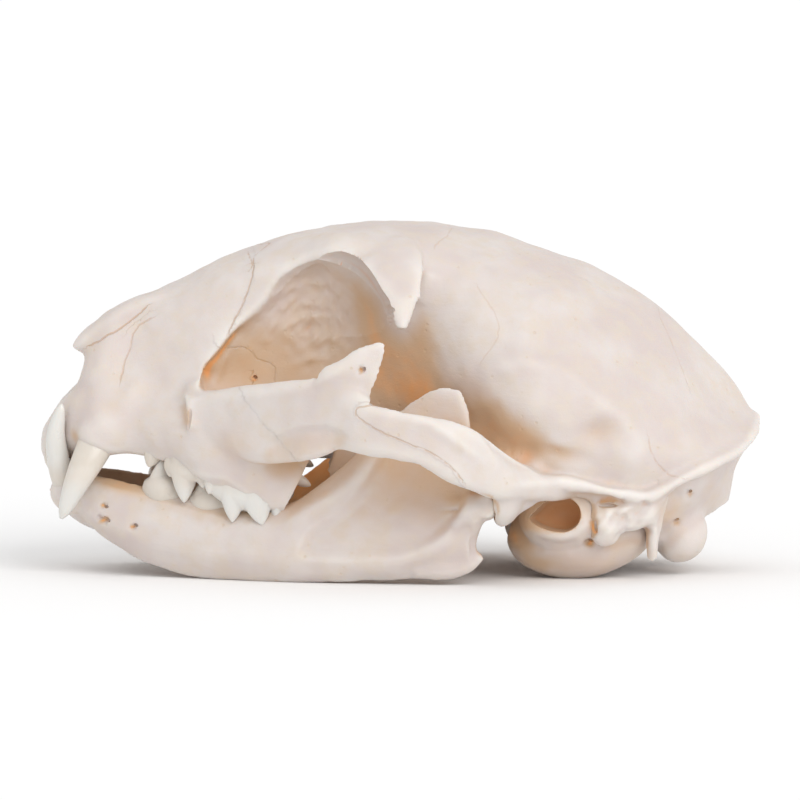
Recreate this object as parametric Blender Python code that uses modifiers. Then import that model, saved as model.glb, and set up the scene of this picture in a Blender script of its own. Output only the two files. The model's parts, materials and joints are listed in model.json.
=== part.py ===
# Cat skull at life size, jaw closed, resting on the lower jaw and the two bullae.
# Nose towards -X, left side towards -Y, floor at z = 0. Tables and sizes are in millimetres
# and become metres where a mesh is made. Each bone or group of fused bones is one closed solid.

import math

import bmesh
import bpy
import numpy as np
from mathutils import Matrix, Vector

MM = 0.001
GAP = 0.3  # seam between neighbouring bones
VOXEL = 0.55  # grain at which shapes melt together
CRANIUM_STATIONS = [(-46.1, -38, 10), (-36.5, 42, 48), (43.2, 45.4, 3)]  # from, to, count along X
RING_POINTS = 40  # round the cranium
JAW_RING_POINTS = 24
JAW_STATIONS = 60
SOCKET_GAP = 0.4  # round the jaw's condyle

# The braincase, orbits and snout are one skin drawn through five rails on each side.
# Each row is x, half breadth, height. The crown and the base lie on the middle plane.
CRANIUM_RAILS = {
    "crown": [
        (-46.1, 0, 18.2), (-45, 0, 19.8), (-43.2, 0, 22.2), (-41.4, 0, 25), (-40.4, 0, 28.6), (-39.2, 0, 31.4),
        (-36, 0, 33.6), (-31.9, 0, 35.7), (-27.7, 0, 37.9), (-22, 0, 40.5), (-16, 0, 42.7), (-8, 0, 44.3),
        (1, 0, 44.9), (9, 0, 44.1), (18, 0, 41.6), (26, 0, 38.5), (30, 0, 36.3), (36.4, 0, 31.2),
        (40.1, 0, 27.4), (43.5, 0, 23.6), (45.4, 0, 20.6),
    ],
    "brow": [
        (-46.1, 2.4, 17.6), (-45, 4.4, 19.6), (-43.7, 5.2, 21.6), (-42.4, 5.8, 22.8), (-41, 6.3, 24.8),
        (-40.2, 6.4, 27.4), (-38.6, 6.1, 30.4), (-34, 6, 32.8), (-29, 6.8, 34.8), (-22, 9, 37.6),
        (-17, 10.2, 39.2), (-12, 11.8, 41), (-8, 14.4, 41.7), (-4, 15.8, 40.8), (1, 14.8, 40.2),
        (8, 14.2, 39.4), (16, 14.6, 36.8), (24, 13.6, 33.6), (32, 11, 28.9), (40, 6.5, 22.9), (45.4, 1.6, 19.8),
    ],
    "wall": [
        (-46.1, 3.4, 17), (-43.4, 6.2, 20.8), (-39, 9, 25), (-34, 9.2, 26), (-29, 10.8, 27.4),
        (-25, 12, 29), (-21.5, 11.8, 30.6), (-18, 10.4, 31.6), (-12, 9.6, 32), (-8, 9.8, 32),
        (-4, 11, 31.5), (0, 13.2, 31), (4, 16, 30), (8, 18.6, 28.4), (12, 20.6, 27), (18, 21.7, 25),
        (24, 21.2, 23), (31, 18.8, 17.6), (36, 17, 14.4), (40, 13.8, 15), (43, 9.6, 17), (45.4, 4, 18.8),
    ],
    "flank": [
        (-46.1, 2.8, 15.4), (-43.4, 6.4, 17), (-41.6, 8.6, 17.6), (-39, 11.6, 18.2), (-34, 10.8, 18.4),
        (-29, 12.6, 19), (-25, 13, 19.5), (-21, 11, 19.8), (-12, 8.9, 20), (-4, 8.6, 18.4), (2, 11.4, 17),
        (8, 15.4, 14.8), (14, 18, 12.8), (20, 18.9, 11.6), (28, 17.8, 9.6), (33, 15.6, 8.6), (37, 11.6, 9),
        (41, 8, 12.4), (45.4, 2.6, 17.6),
    ],
    "base": [
        (-46.1, 0, 14.4), (-42.4, 0, 14.4), (-34, 0, 15.4), (-22, 0, 15.2), (-10, 0, 14.2), (-2, 0, 12.6),
        (6, 0, 10.4), (14, 0, 8.4), (22, 0, 6), (30, 0, 3.4), (34.4, 0, 2.6), (38, 0, 4),
        (41, 0, 6.6), (42.4, 0, 9), (43, 0, 12.4), (45.2, 0, 17),
    ],
}

# The tooth-bearing part of each maxilla. Rows: x, half breadth, mid height, half height, half thickness.
MAXILLA = [
    (-37, 9, 18.6, 3, 3), (-33, 9.4, 19, 3.4, 2.6), (-29, 11.6, 18.8, 4.2, 2.8), (-25, 14.2, 18.6, 5.4, 3.4),
    (-21, 16.2, 17.4, 6.6, 3.2), (-18, 17.2, 15.6, 6.2, 2.6), (-15.4, 17.6, 14, 5.4, 2.1),
    (-13, 17.6, 13.4, 4.4, 1.6), (-11, 17.4, 13.4, 2.4, 0.9),
]

# The zygomatic arch. Rows: x, half breadth, low edge, high edge, half thickness.
ARCH = [
    (-25, 14.2, 17, 24, 3), (-21.5, 17.2, 16, 24.6, 2.8), (-18, 20.2, 15.4, 25.2, 2.3),
    (-15, 22.9, 15.3, 25.8, 1.9), (-12, 25.3, 16, 26.2, 1.7), (-8, 28, 17.2, 26.4, 1.5),
    (-3.7, 30.3, 17, 23.6, 1.3), (0, 31.5, 16.7, 22.4, 1.2), (4, 31.9, 15.6, 22.1, 1.3),
    (8, 31, 13.1, 20.2, 1.5), (11.5, 28.6, 11.5, 17.8, 1.9), (14.5, 25, 10.9, 15.6, 2.3),
    (17.5, 21.4, 10.6, 14.2, 2.5), (20.5, 17.6, 10.6, 13.6, 2.4),
]

# The postorbital process of the forehead. Rows: x, y, z, half thickness, half width.
BROW_PROCESS = [
    (-5, -7, 42.2, 1, 2), (-4, -11, 41.9, 1.3, 4.8), (-1.8, -14.6, 40.7, 1.6, 4.8), (-0.6, -17.8, 38.6, 1.4, 3.4),
    (0, -20.4, 36, 1.1, 2.4), (0.2, -21.9, 34.1, 0.9, 1.5), (0.1, -23.1, 31.9, 0.45, 0.5),
]

# One half of the lower jaw. Rows of the edges and centre: x, value. Rows of the two swellings:
# x, half thickness, height.
JAW_LOW = [
    (-44.4, 10.9), (-42.1, 8.3), (-40, 6.3), (-37.1, 4.3), (-33.1, 2.2), (-29.2, 0.8), (-25.3, 0),
    (-21.4, -0.2), (-13, -0.2), (-7.7, 0.1), (0, 0.6), (6, 0.7), (8.8, 1.4),
]
JAW_HIGH = [
    (-44.4, 12.2), (-42, 13), (-38, 12.6), (-33, 11.6), (-28, 10.6), (-22, 9.4), (-16, 9.4), (-13, 10.6),
    (-9.6, 12.9), (-6.6, 15.5), (-4, 18), (-1, 21), (1, 23), (3.4, 24.6), (6.2, 25.1), (8, 24.2), (8.8, 22),
]
JAW_BREADTH = [
    (-44.4, 3.4), (-41, 5.2), (-37, 7.6), (-33, 9.8), (-28, 12), (-22, 14.6), (-15, 17.3), (-8, 19.3),
    (0, 20.8), (8.8, 22),
]
JAW_BELLY = [
    (-44.4, 2, 11.2), (-41, 2.7, 8.4), (-36, 2.8, 6.2), (-28, 2.6, 4.6), (-16, 2.6, 4.2), (-6, 2.2, 3.2),
    (2, 1.8, 2.6), (8.8, 1.5, 3.4),
]
JAW_NECK = [
    (-44.4, 2, 11.8), (-41, 2.5, 11), (-34, 2.2, 9.6), (-26, 2.5, 7.8), (-15, 2.2, 7), (-8, 1.6, 9.6),
    (-2, 1, 14), (4, 0.85, 18), (8.8, 0.7, 18),
]

JAW_CONDYLE = [
    (10.5, -14.6, 9.8, 1, 1), (10.8, -17, 10.2, 1.8, 1.6), (10.9, -21, 10.3, 2, 1.7),
    (10.9, -23.2, 10.3, 1.9, 1.6), (10.8, -24.3, 10.3, 1.2, 1),
]

# The cheek teeth's bases. Rows: x, half breadth and height where the base starts, the same where it
# ends, its half height and half width.
UPPER_BASES = [(-29.9, 13, 14.6, -24.8, 15, 13.4, 1.5, 1.1), (-24.5, 15.6, 12.8, -16.4, 18.3, 10, 1.7, 1.2)]
LOWER_BASES = [
    (-32.6, 10.2, 11.6, -28, 12, 10.6, 1.7, 1.2), (-26.6, 12.6, 10, -21.6, 14.3, 9.4, 1.6, 1.2),
    (-21, 14.5, 9, -14, 16.4, 8.6, 1.8, 1.2),
]

# Cheek teeth, incisors and canines. Each cusp: x, half breadth and height of its base, the same of its
# tip, half length along the row, half width across it.
UPPER_CUSPS = {
    "first_small": [(-32, 11.2, 16.4, -32.2, 11.4, 14.3, 1.1, 0.8)],
    "premolar": [(-27.3, 13.8, 14.4, -27.4, 14.2, 9.7, 2.1, 1.1), (-25, 14.8, 13.8, -25, 15, 11.8, 1.3, 0.9)],
    "carnassial": [
        (-23.6, 16, 13.2, -24.2, 16.4, 11, 1.3, 1), (-21, 17, 12.4, -21.2, 17.4, 7.5, 2.1, 1.3),
        (-18, 18.2, 11.2, -17.4, 18.4, 7.1, 2, 1.1),
    ],
    "molar": [(-15.4, 16.8, 10.4, -15.6, 17, 7.6, 0.9, 1.8)],
}
LOWER_CUSPS = {
    "first_premolar": [
        (-30.5, 11, 11, -30.3, 11.2, 15.1, 2, 1.1), (-28.7, 11.8, 10.4, -28.6, 12, 12, 1.2, 0.9),
    ],
    "second_premolar": [
        (-24.4, 13.4, 9.8, -24.2, 13.4, 13.6, 2.2, 1.1), (-22.2, 14.2, 9.4, -22.1, 14.2, 11.4, 1.3, 0.9),
    ],
    "carnassial": [(-19, 15.2, 8.8, -19.4, 15, 12.4, 2.2, 1.1), (-15.8, 16, 8.2, -15.4, 15.8, 12.2, 2, 1)],
}
# The canines curve. Knots: x, y, z, half length along the row, half width.
UPPER_CANINE = [
    (-37.4, -9.2, 19, 1.9, 1.5), (-39.5, -10.5, 14.6, 1.95, 1.55), (-40.7, -10.95, 12.2, 1.65, 1.35),
    (-41.7, -10.9, 10, 1.2, 1), (-42.4, -10.7, 8.3, 0.75, 0.65), (-42.8, -10.6, 7.4, 0.25, 0.25),
]
LOWER_CANINE = [
    (-42.4, -6.6, 10.6, 1.5, 1.3), (-43.8, -7.4, 15.6, 1.4, 1.15), (-43.9, -8, 18.3, 1.15, 0.95),
    (-43.5, -8.4, 20.3, 0.8, 0.65), (-43.1, -8.65, 22, 0.2, 0.2),
]
UPPER_INCISORS = {"first": (-45, 1.3, 16.6), "last": (-43.6, 5.2, 17), "crown": 3.4, "radius": 0.95}
LOWER_INCISORS = {"first": (-44.3, 1, 11.8), "last": (-43.6, 3.4, 12), "crown": 2.4, "radius": 0.7}

# Rounded masses of the left side that melt into the cranium: centre, radii, tilt about Y in degrees.
SOFT_MASSES = {
    "cheek": ((-23.4, -12, 21), (5, 4.8, 5.6), 0),
    "canine_root": ((-35, -8.2, 21), (2.8, 2.9, 6.4), 34),
    "glenoid": ((13, -20.6, 14), (4.8, 6.6, 2.1), 0),
    "mastoid": ((25.8, -17.5, 7.8), (2.3, 2.5, 3.3), 0),
    "mastoid_ridge": ((29.2, -17.1, 9.2), (4, 2.4, 2.6), 0),
    "condyle": ((36.1, -7.5, 4.9), (3.1, 3.9, 3.8), 35),
}
NASAL = [
    (-30, -3, 35.2, 1.2, 2.6), (-35, -3, 33.2, 1.2, 2.8), (-38.6, -3.4, 31, 1.2, 2.8),
    (-40.6, -3.9, 29.6, 1, 2), (-41.8, -4.2, 28.6, 0.6, 1),
]

# Crests, plates and processes of the left side that keep their edges. Rows of the knots: x, y, z,
# half size along the up direction, half size across it.
CRESTS = {
    "jugal_process": {
        "knots": [
            (-9.6, -27, 22.6, 1, 2.4), (-7.4, -28, 25.2, 1.25, 3.5), (-5.8, -28.6, 27, 1.15, 2.6),
            (-4.5, -29, 28.7, 0.95, 1.8), (-3.2, -29.2, 30.1, 0.75, 1.1), (-2.1, -29.3, 31.2, 0.4, 0.4),
        ],
        "up": (0, -1, 0),
    },
    "nuchal_crest": {
        "knots": [
            (45.4, 0.8, 19.8, 0.9, 1), (44.8, -5, 18.2, 0.9, 1.1), (42.8, -10.4, 16.2, 0.9, 1.1),
            (39.6, -14.8, 14.8, 0.9, 1.1), (35.6, -17.4, 13.2, 0.9, 1.1), (32.2, -18.6, 11.2, 0.9, 1.1),
            (29.4, -19, 10.6, 0.7, 0.9),
        ],
        "steps": 20,
    },
    "temporal_ridge": {
        "knots": [
            (14, -23.4, 13.8, 1, 1.4), (18, -21.6, 13, 0.9, 1.5), (22, -20.4, 12.5, 0.85, 1.5),
            (26, -19.6, 11.7, 0.8, 1.4), (30.5, -18.9, 10.7, 0.8, 1.2),
        ],
    },
    "postglenoid": {
        "knots": [
            (14, -15.6, 11.2, 2, 1.5), (13.9, -18.6, 10.6, 2.9, 1.7), (13.8, -22.4, 10.4, 3.2, 1.7),
            (13.6, -24.8, 10.9, 2.9, 1.6), (13, -27, 12.6, 1.6, 1.3),
        ],
        "up": (0.42, 0, 0.9),
        "steps": 12,
    },
    "ear_root": {
        "knots": [
            (13.6, -22, 9.6, 1.5, 1.6), (15, -21.8, 10.8, 1.6, 2), (16.8, -21.2, 12, 1.5, 2.4),
            (19.4, -20.4, 12.8, 1.2, 2.2),
        ],
        "steps": 8,
    },
    "paracondylar": {
        "knots": [
            (33.2, -16.6, 11.4, 1.2, 1.1), (32.4, -16.2, 8, 0.9, 1), (32, -15.8, 4.8, 0.8, 0.8),
            (32, -15.3, 2.2, 0.75, 0.6),
        ],
        "up": (1, 0, 0),
        "steps": 8,
    },
    "pterygoid": {
        "knots": [
            (-9, -5.8, 14.4, 2.6, 0.8), (-4, -5.6, 12.4, 3, 0.7), (1, -5.4, 10.8, 2.8, 0.7),
            (5.6, -5.4, 9.2, 1.6, 0.6),
        ],
        "steps": 12,
    },
    "hamulus": {"knots": [(3.4, -5.4, 9.6, 1, 0.7), (6, -5.6, 7.8, 0.6, 0.5)], "steps": 5},
}

# The openings cut from the cranium. Balls: centre, radii, tilt. Sweeps: knots as above. Bowls: a rim of
# x and z, and rows of y, the rim's size there and how far its middle moves along x and z.
ORBIT = ((-11.4, -19.8, 32), (11.4, 10.8, 9.4), 18)
ORBIT_BOWL = {
    "rim": [
        (-25.4, 24.4), (-24.2, 27.6), (-22, 31), (-19.2, 34.4), (-16.4, 37.4), (-13, 39.8), (-9.6, 40.4),
        (-7.4, 37.4), (-7.2, 31), (-9, 25), (-14, 22), (-21, 21.8),
    ],
    "levels": [
        (-34, 1, 0, 0), (-15, 1, 0, 0), (-12.4, 0.97, 0, 0), (-10.6, 0.9, 0.3, 0), (-9.5, 0.78, 0.6, 0),
        (-8.9, 0.6, 0.8, 0), (-8.7, 0.3, 0.8, 0),
    ],
}
# Later cuts give the orbit's upper rim its arch and the upper jaw its rear edge.
UNDER_BROW = ((-10.6, -17, 33.6), (10.8, 8.2, 8), 18)
BROW_BOWL = {
    "rim": [
        (-19, 32.4), (-16.6, 36), (-14.2, 39.2), (-12.2, 41.1), (-10, 41.8), (-7.6, 41.5), (-5.4, 40.3),
        (-3.6, 38.4), (-2.4, 36.2), (-1.6, 34), (-1.3, 31.6), (-3, 29.6), (-8, 28.6), (-15, 29.6),
    ],
    "levels": [(-25.4, 1, 0, 0), (-14.4, 1, 0, 0), (-13.4, 0.97, 0, -0.2), (-12.8, 0.9, 0, -0.4)],
}
JAW_END_BOWL = {
    "rim": [
        (-15.5, 6), (-14.9, 8.6), (-13.8, 11), (-12.6, 13.2), (-11.4, 14.8), (-8, 15.4), (-4, 14), (-4, 6),
    ],
    "levels": [(-24, 1, 0, 0), (-14, 1, 0, 0)],
}
PALATE = ((-26, 0, 12.6), (17, 8.6, 3.4), 0)
NOSE_HOLE = [
    (-52, 0, 20.5, 4.4, 5), (-45, 0, 23.6, 4.6, 5.2), (-38, 0, 25.8, 4.4, 5), (-31, 0, 27.4, 2.4, 3),
]
CHOANA = [(-9.4, 0, 12.6, 1.6, 3), (-5, 0, 11.8, 3.4, 4.4), (1, 0, 9.8, 3.4, 4.4), (9, 0, 6.4, 2.6, 3.6)]
FORAMEN_MAGNUM = [
    (44, 0, -1.6, 4.9, 6.3), (38, 0, 4.4, 4.9, 6.3), (33, 0, 9.4, 4.2, 5.4), (29.5, 0, 12.9, 2, 2.6),
]

# The bulla, the collar round its ear opening and the opening: centre, radii, tilt.
BULLA = ((23.2, -10.9, 6.1), (9.6, 6.5, 6.2), -10)
COLLAR = ((20.9, -15.4, 8.3), (5.9, 3.9, 4.7), 0)
EAR_BOWL = {
    "rim": [
        (16.3, 8), (17.2, 9.2), (18.6, 10.4), (20.1, 10.9), (21.6, 10.6), (22.6, 9.6), (22.8, 8.4),
        (22.2, 7.2), (21, 6.5), (19.6, 6.5), (18, 6.9), (16.8, 7.5),
    ],
    "levels": [
        (-30, 1.1, 0, 0), (-18, 1, 0, 0), (-16.4, 0.96, 0.3, 0), (-15, 0.86, 0.6, -0.2), (-14.4, 0.5, 0.8, -0.3),
    ],
}

# What is added to the lower jaw's body and the hollow for the chewing muscle on its outside.
JAW_DETAILS = {
    "symphysis": {
        "knots": [
            (-44.2, -2, 11.6, 1.4, 3), (-41, -2.4, 9.6, 2.8, 3.6), (-37, -2.8, 7.6, 2.8, 3.8),
            (-33.5, -3.4, 6.2, 1.6, 3),
        ],
    },
    "condyle_neck": {
        "knots": [
            (3, -21.6, 9, 3.4, 1.3), (6.6, -21.8, 9.4, 3, 1.7), (9.4, -21.5, 10, 2.3, 2.8),
            (10.8, -21.3, 10.2, 1.8, 2.9),
        ],
        "steps": 8,
    },
    "condyle": {"knots": JAW_CONDYLE, "steps": 12},
    "angle": {
        "knots": [
            (2, -21.4, 2.3, 1.6, 1.4), (6, -21.9, 2.4, 1.7, 1.4), (8.6, -22, 2.9, 1.3, 1.1),
            (10.3, -21.8, 3.7, 0.6, 0.6),
        ],
        "steps": 8,
    },
    "rear_edge": {
        "knots": [(8.6, -22, 3, 1, 1.1), (8.7, -22.2, 6.4, 1.1, 1.2), (9.2, -22.2, 9.4, 1.5, 1.4)],
        "up": (1, 0, 0),
        "steps": 6,
    },
}
FOSSA = ((1.4, -24, 12.4), (9.4, 3.5, 10.4), -30)
FOSSA_TURN = -7  # degrees about Z

# The sutures that part the cranium, as points of x and z, with the y where each blade starts and ends.
CHEEK_FRONT = {"line": [(-24, 31), (-18.4, 22), (-13.4, 16.4), (-11, 12)], "near": -11.6, "far": -40}
CHEEK_REAR = {
    "line": [
        (0, 27), (-3, 23.9), (-5.6, 23.2), (-5.8, 22.4), (-3.5, 20.6), (-1.2, 19.4), (1.2, 18.4),
        (3.6, 17.4), (6, 15.8), (7.4, 13.9), (8.6, 12), (10, 8),
    ],
    "near": -23.6,
    "far": -40,
}
FACE_SEAM = {
    "line": [
        (-19.4, 52), (-19.2, 43), (-18.8, 37.6), (-20, 34.5), (-21.6, 30.4), (-18.4, 27.8), (-15.8, 25),
        (-12, 20), (-9.6, 16), (-9.6, 4),
    ],
    "near": -17,
    "far": 17,
}

# Triangles that the smooth skins are thinned to before the teeth and seams are added.
CRANIUM_TRIANGLES = 4400
BULLA_TRIANGLES = 400
JAW_TRIANGLES = 1400
CLEARANCE_TRIANGLES = 1600  # of each swollen neighbour that is cut from the jaw

TOOTH_BASE_SHAPE = [(0, 0.5), (0.2, 1), (0.8, 1), (1, 0.5)]  # how far along, share of full size
CUSP_SHAPE = [(0, 1), (0.4, 0.85), (0.75, 0.52), (1, 0.1)]
ROOT_SIZE = 0.8  # of the cusp's base, sunk in the bone
INCISOR_GROWTH = 0.15  # from each incisor to the next one out

FLOOR_CUT = ((-60, -40, -10), (60, 40, 0))
MIDDLE_CUT = ((-60, -GAP / 2, -10), (0, 20, 40))
BONE_COLOUR = (0.74, 0.66, 0.57)


def smooth_values(knots, at):
    """Values of a smooth curve through rows of (t, value, ...), at each number in at."""
    rows = np.array(knots, float)
    times, values = rows[:, 0], rows[:, 1:]
    slopes = np.gradient(values, times, axis=0)
    at = np.clip(np.asarray(at, float), times[0], times[-1])
    low = np.clip(np.searchsorted(times, at, side="right") - 1, 0, len(times) - 2)
    span = (times[low + 1] - times[low])[:, None]
    u = (at - times[low])[:, None] / span
    start, end = values[low], values[low + 1]
    return (
        start * (1 + 2 * u) * (1 - u) ** 2
        + slopes[low] * span * u * (1 - u) ** 2
        + end * u**2 * (3 - 2 * u)
        + slopes[low + 1] * span * u**2 * (u - 1)
    )


def closed_ring(points, count):
    """A smooth closed curve through the points, as count points."""
    looped = np.vstack([points[-2:], points, points[:3]])
    along = np.concatenate([[0], np.cumsum(np.linalg.norm(np.diff(looped, axis=0), axis=1))])
    at = np.linspace(along[2], along[2 + len(points)], count, endpoint=False)
    return smooth_values(np.column_stack([along, looped]), at)


def new_object(name, mesh):
    made = bpy.data.objects.new(name, mesh)
    work.objects.link(made)
    return made


def loft(name, rings):
    """A closed solid through rings of points, its ends closed by fans."""
    count, around = rings.shape[:2]
    ends = [rings[0].mean(axis=0), rings[-1].mean(axis=0)]
    points = np.vstack([rings.reshape(-1, 3), ends]) * MM
    faces = []
    for i in range(count - 1):
        for j in range(around):
            k = (j + 1) % around
            faces.append((i * around + j, i * around + k, (i + 1) * around + k, (i + 1) * around + j))
    for j in range(around):
        k = (j + 1) % around
        faces.append((count * around, k, j))
        faces.append((count * around + 1, (count - 1) * around + j, (count - 1) * around + k))
    mesh = bpy.data.meshes.new(name)
    mesh.from_pydata(points.tolist(), [], faces)
    outward(mesh)
    return new_object(name, mesh)


def outward(mesh):
    """Turns every face of a closed mesh to point outwards."""
    shape = bmesh.new()
    shape.from_mesh(mesh)
    bmesh.ops.remove_doubles(shape, verts=shape.verts, dist=1e-6)
    bmesh.ops.recalc_face_normals(shape, faces=shape.faces)
    shape.to_mesh(mesh)
    shape.free()


def sweep(name, knots, up=(0, 0, 1), steps=14, around=14, power=1.0):
    """A solid along a curve. Rows of knots: x, y, z, half size along up, half size across it."""
    rows = np.array(knots, float)
    along = np.concatenate([[0], np.cumsum(np.linalg.norm(np.diff(rows[:, :3], axis=0), axis=1))])
    at = np.linspace(0, along[-1], steps)
    values = smooth_values(np.column_stack([along, rows]), at)
    centre, tall, wide = values[:, :3], values[:, 3], values[:, 4]
    tangent = np.gradient(centre, at, axis=0)
    tangent /= np.linalg.norm(tangent, axis=1)[:, None]
    side = np.cross(tangent, np.array(up, float))
    side /= np.linalg.norm(side, axis=1)[:, None]
    rise = np.cross(side, tangent)
    angle = np.linspace(0, 2 * math.pi, around, endpoint=False)
    cosine = np.sign(np.cos(angle)) * np.abs(np.cos(angle)) ** power
    sine = np.sign(np.sin(angle)) * np.abs(np.sin(angle)) ** power
    rings = (
        centre[:, None]
        + side[:, None] * (wide[:, None] * cosine)[..., None]
        + rise[:, None] * (tall[:, None] * sine)[..., None]
    )
    return loft(name, rings)


def ball(name, size, turn=0, around=32):
    """An ellipsoid from its centre, radii and tilt about Y, turned about Z, in degrees."""
    centre, radii, tilt = size
    shape = bmesh.new()
    bmesh.ops.create_uvsphere(shape, u_segments=around, v_segments=around * 5 // 8, radius=MM)
    place = (
        Matrix.Translation(Vector(centre) * MM)
        @ Matrix.Rotation(math.radians(turn), 4, "Z")
        @ Matrix.Rotation(math.radians(tilt), 4, "Y")
        @ Matrix.Diagonal((*radii, 1))
    )
    shape.transform(place)
    mesh = bpy.data.meshes.new(name)
    shape.to_mesh(mesh)
    shape.free()
    return new_object(name, mesh)


def bowl(name, rim, levels):
    """A hollow's tool along Y: at each level the rim, sized about its middle, which may move."""
    rim = np.array(rim, float)
    middle = rim.mean(axis=0)
    rings = []
    for y, size, shift_x, shift_z in levels:
        ring = middle + (shift_x, shift_z) + (rim - middle) * size
        rings.append(np.column_stack([ring[:, 0], np.full(len(ring), y), ring[:, 1]]))
    return loft(name, np.array(rings))


def block(name, corners):
    """A box between two corners."""
    shape = bmesh.new()
    bmesh.ops.create_cube(shape, size=1)
    low, high = Vector(corners[0]), Vector(corners[1])
    shape.transform(Matrix.Translation((low + high) * MM / 2) @ Matrix.Diagonal((*((high - low) * MM), 1)))
    mesh = bpy.data.meshes.new(name)
    shape.to_mesh(mesh)
    shape.free()
    return new_object(name, mesh)


def blade(name, line, near, far):
    """A sheet as thick as the seam, whose edge follows points of x and z, from y = near to y = far."""
    path = np.array(line, float)
    run = np.gradient(path, axis=0)
    run /= np.linalg.norm(run, axis=1)[:, None]
    offset = np.column_stack([-run[:, 1], run[:, 0]]) * GAP / 2
    rings = []
    for point, shift in zip(path, offset):
        a, b = point + shift, point - shift
        rings.append([(a[0], near, a[1]), (a[0], far, a[1]), (b[0], far, b[1]), (b[0], near, b[1])])
    return loft(name, np.array(rings))


def mirrored(pieces):
    """The pieces and their mirror images across the middle plane."""
    both = list(pieces)
    for piece in pieces:
        mesh = piece.data.copy()
        mesh.transform(Matrix.Diagonal((1, -1, 1, 1)))
        mesh.flip_normals()
        both.append(new_object(piece.name + "_mirrored", mesh))
    return both


def applied(piece):
    """Replaces the piece's mesh by what its modifiers make of it."""
    bpy.context.view_layer.update()
    graph = bpy.context.evaluated_depsgraph_get()
    mesh = bpy.data.meshes.new_from_object(piece.evaluated_get(graph))
    piece.modifiers.clear()
    piece.data = mesh


def boolean(piece, others, operation):
    """Joins, cuts or intersects the piece with the others, which are then removed."""
    group = bpy.data.collections.new("tools")
    work.children.link(group)
    for other in others:
        work.objects.unlink(other)
        group.objects.link(other)
    modifier = piece.modifiers.new(operation.lower(), "BOOLEAN")
    modifier.operation = operation
    modifier.solver = "MANIFOLD"
    modifier.operand_type = "COLLECTION"
    modifier.collection = group
    applied(piece)
    for other in others:
        bpy.data.objects.remove(other)
    bpy.data.collections.remove(group)
    return piece


def join(name, pieces):
    whole = boolean(pieces[0], pieces[1:], "UNION")
    whole.name = name
    return whole


def cut(piece, cutters):
    return boolean(piece, cutters, "DIFFERENCE")


def melt(piece, voxel, rounds):
    """Turns the joined pieces into one even skin and softens its creases."""
    remesh = piece.modifiers.new("melt", "REMESH")
    remesh.mode = "VOXEL"
    remesh.voxel_size = voxel * MM
    soften = piece.modifiers.new("soften", "SMOOTH")
    soften.factor = 0.5
    soften.iterations = rounds
    applied(piece)


def swollen(piece):
    """A copy of the piece grown by the seam on every side, to cut clearance from a neighbour."""
    copy = new_object(piece.name + "_swollen", piece.data.copy())
    displace = copy.modifiers.new("grow", "DISPLACE")
    displace.mid_level = 0
    displace.strength = GAP * MM
    remesh = copy.modifiers.new("even", "REMESH")
    remesh.mode = "VOXEL"
    remesh.voxel_size = GAP * MM
    applied(copy)
    thin_out(copy, CLEARANCE_TRIANGLES)
    return copy


def thin_out(piece, triangles):
    """Brings the mesh down to about this many triangles, keeping its shape."""
    piece.data.calc_loop_triangles()
    decimate = piece.modifiers.new("thin out", "DECIMATE")
    decimate.ratio = min(1, triangles / len(piece.data.loop_triangles))
    decimate.use_collapse_triangulate = True
    applied(piece)


def bodies(piece):
    """Splits a mesh into its closed surfaces, the one with the most faces first."""
    shape = bmesh.new()
    shape.from_mesh(piece.data)
    shape.verts.ensure_lookup_table()
    label = np.full(len(shape.verts), -1)
    count = 0
    for start in shape.verts:
        if label[start.index] >= 0:
            continue
        stack = [start]
        label[start.index] = count
        while stack:
            for edge in stack.pop().link_edges:
                for end in edge.verts:
                    if label[end.index] < 0:
                        label[end.index] = count
                        stack.append(end)
        count += 1
    made = []
    for number in range(count):
        part = shape.copy()
        part.verts.ensure_lookup_table()
        drop = [vert for vert in part.verts if label[vert.index] != number]
        bmesh.ops.delete(part, geom=drop, context="VERTS")
        mesh = bpy.data.meshes.new(piece.name)
        part.to_mesh(mesh)
        part.free()
        made.append(new_object(f"{piece.name}_{number}", mesh))
    shape.free()
    made.sort(key=lambda part: -len(part.data.polygons))
    return made


def keep_largest(piece):
    parts = bodies(piece)
    piece.data = parts[0].data
    for part in parts:
        bpy.data.objects.remove(part)
    return piece


def cusp(name, row, sink):
    """A tapered cone from its root, sunk in the bone, to its tip. Its long side lies along X."""
    x, breadth, z, tip_x, tip_breadth, tip_z, long, wide = row
    base = np.array((x, -breadth, z))
    tip = np.array((tip_x, -tip_breadth, tip_z))
    knots = []
    for along, size in [(-sink, ROOT_SIZE)] + CUSP_SHAPE:
        place = base + (tip - base) * along
        knots.append((*place, long * size, wide * size))
    return sweep(name, knots, up=(1, 0, 0), steps=5, around=7)


def teeth_of(canine, cusps, bases, incisors, downward):
    """The teeth of one left half jaw, as bases, cones and a curved canine to be joined to it."""
    made = [sweep("canine", canine, up=(1, 0, 0), steps=8, around=9)]
    for x, breadth, z, end_x, end_breadth, end_z, tall, wide in bases:
        start, end = np.array((x, -breadth, z)), np.array((end_x, -end_breadth, end_z))
        knots = [(*(start + (end - start) * at), tall * size, wide * size) for at, size in TOOTH_BASE_SHAPE]
        made.append(sweep("tooth_base", knots, steps=6, around=8))
    for tooth, rows in cusps.items():
        for number, row in enumerate(rows):
            made.append(cusp(f"{tooth}_{number}", row, 0.5))
    first, last = np.array(incisors["first"]), np.array(incisors["last"])
    for number in range(3):
        x, breadth, z = first + (last - first) * number / 2
        growth = 1 + INCISOR_GROWTH * number
        length = incisors["crown"] * growth * (-1 if downward else 1)
        radius = incisors["radius"] * growth
        row = (x, breadth, z, x, breadth, z + length, radius, radius)
        made.append(cusp(f"incisor_{number}", row, 0.6))
    return made


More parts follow.
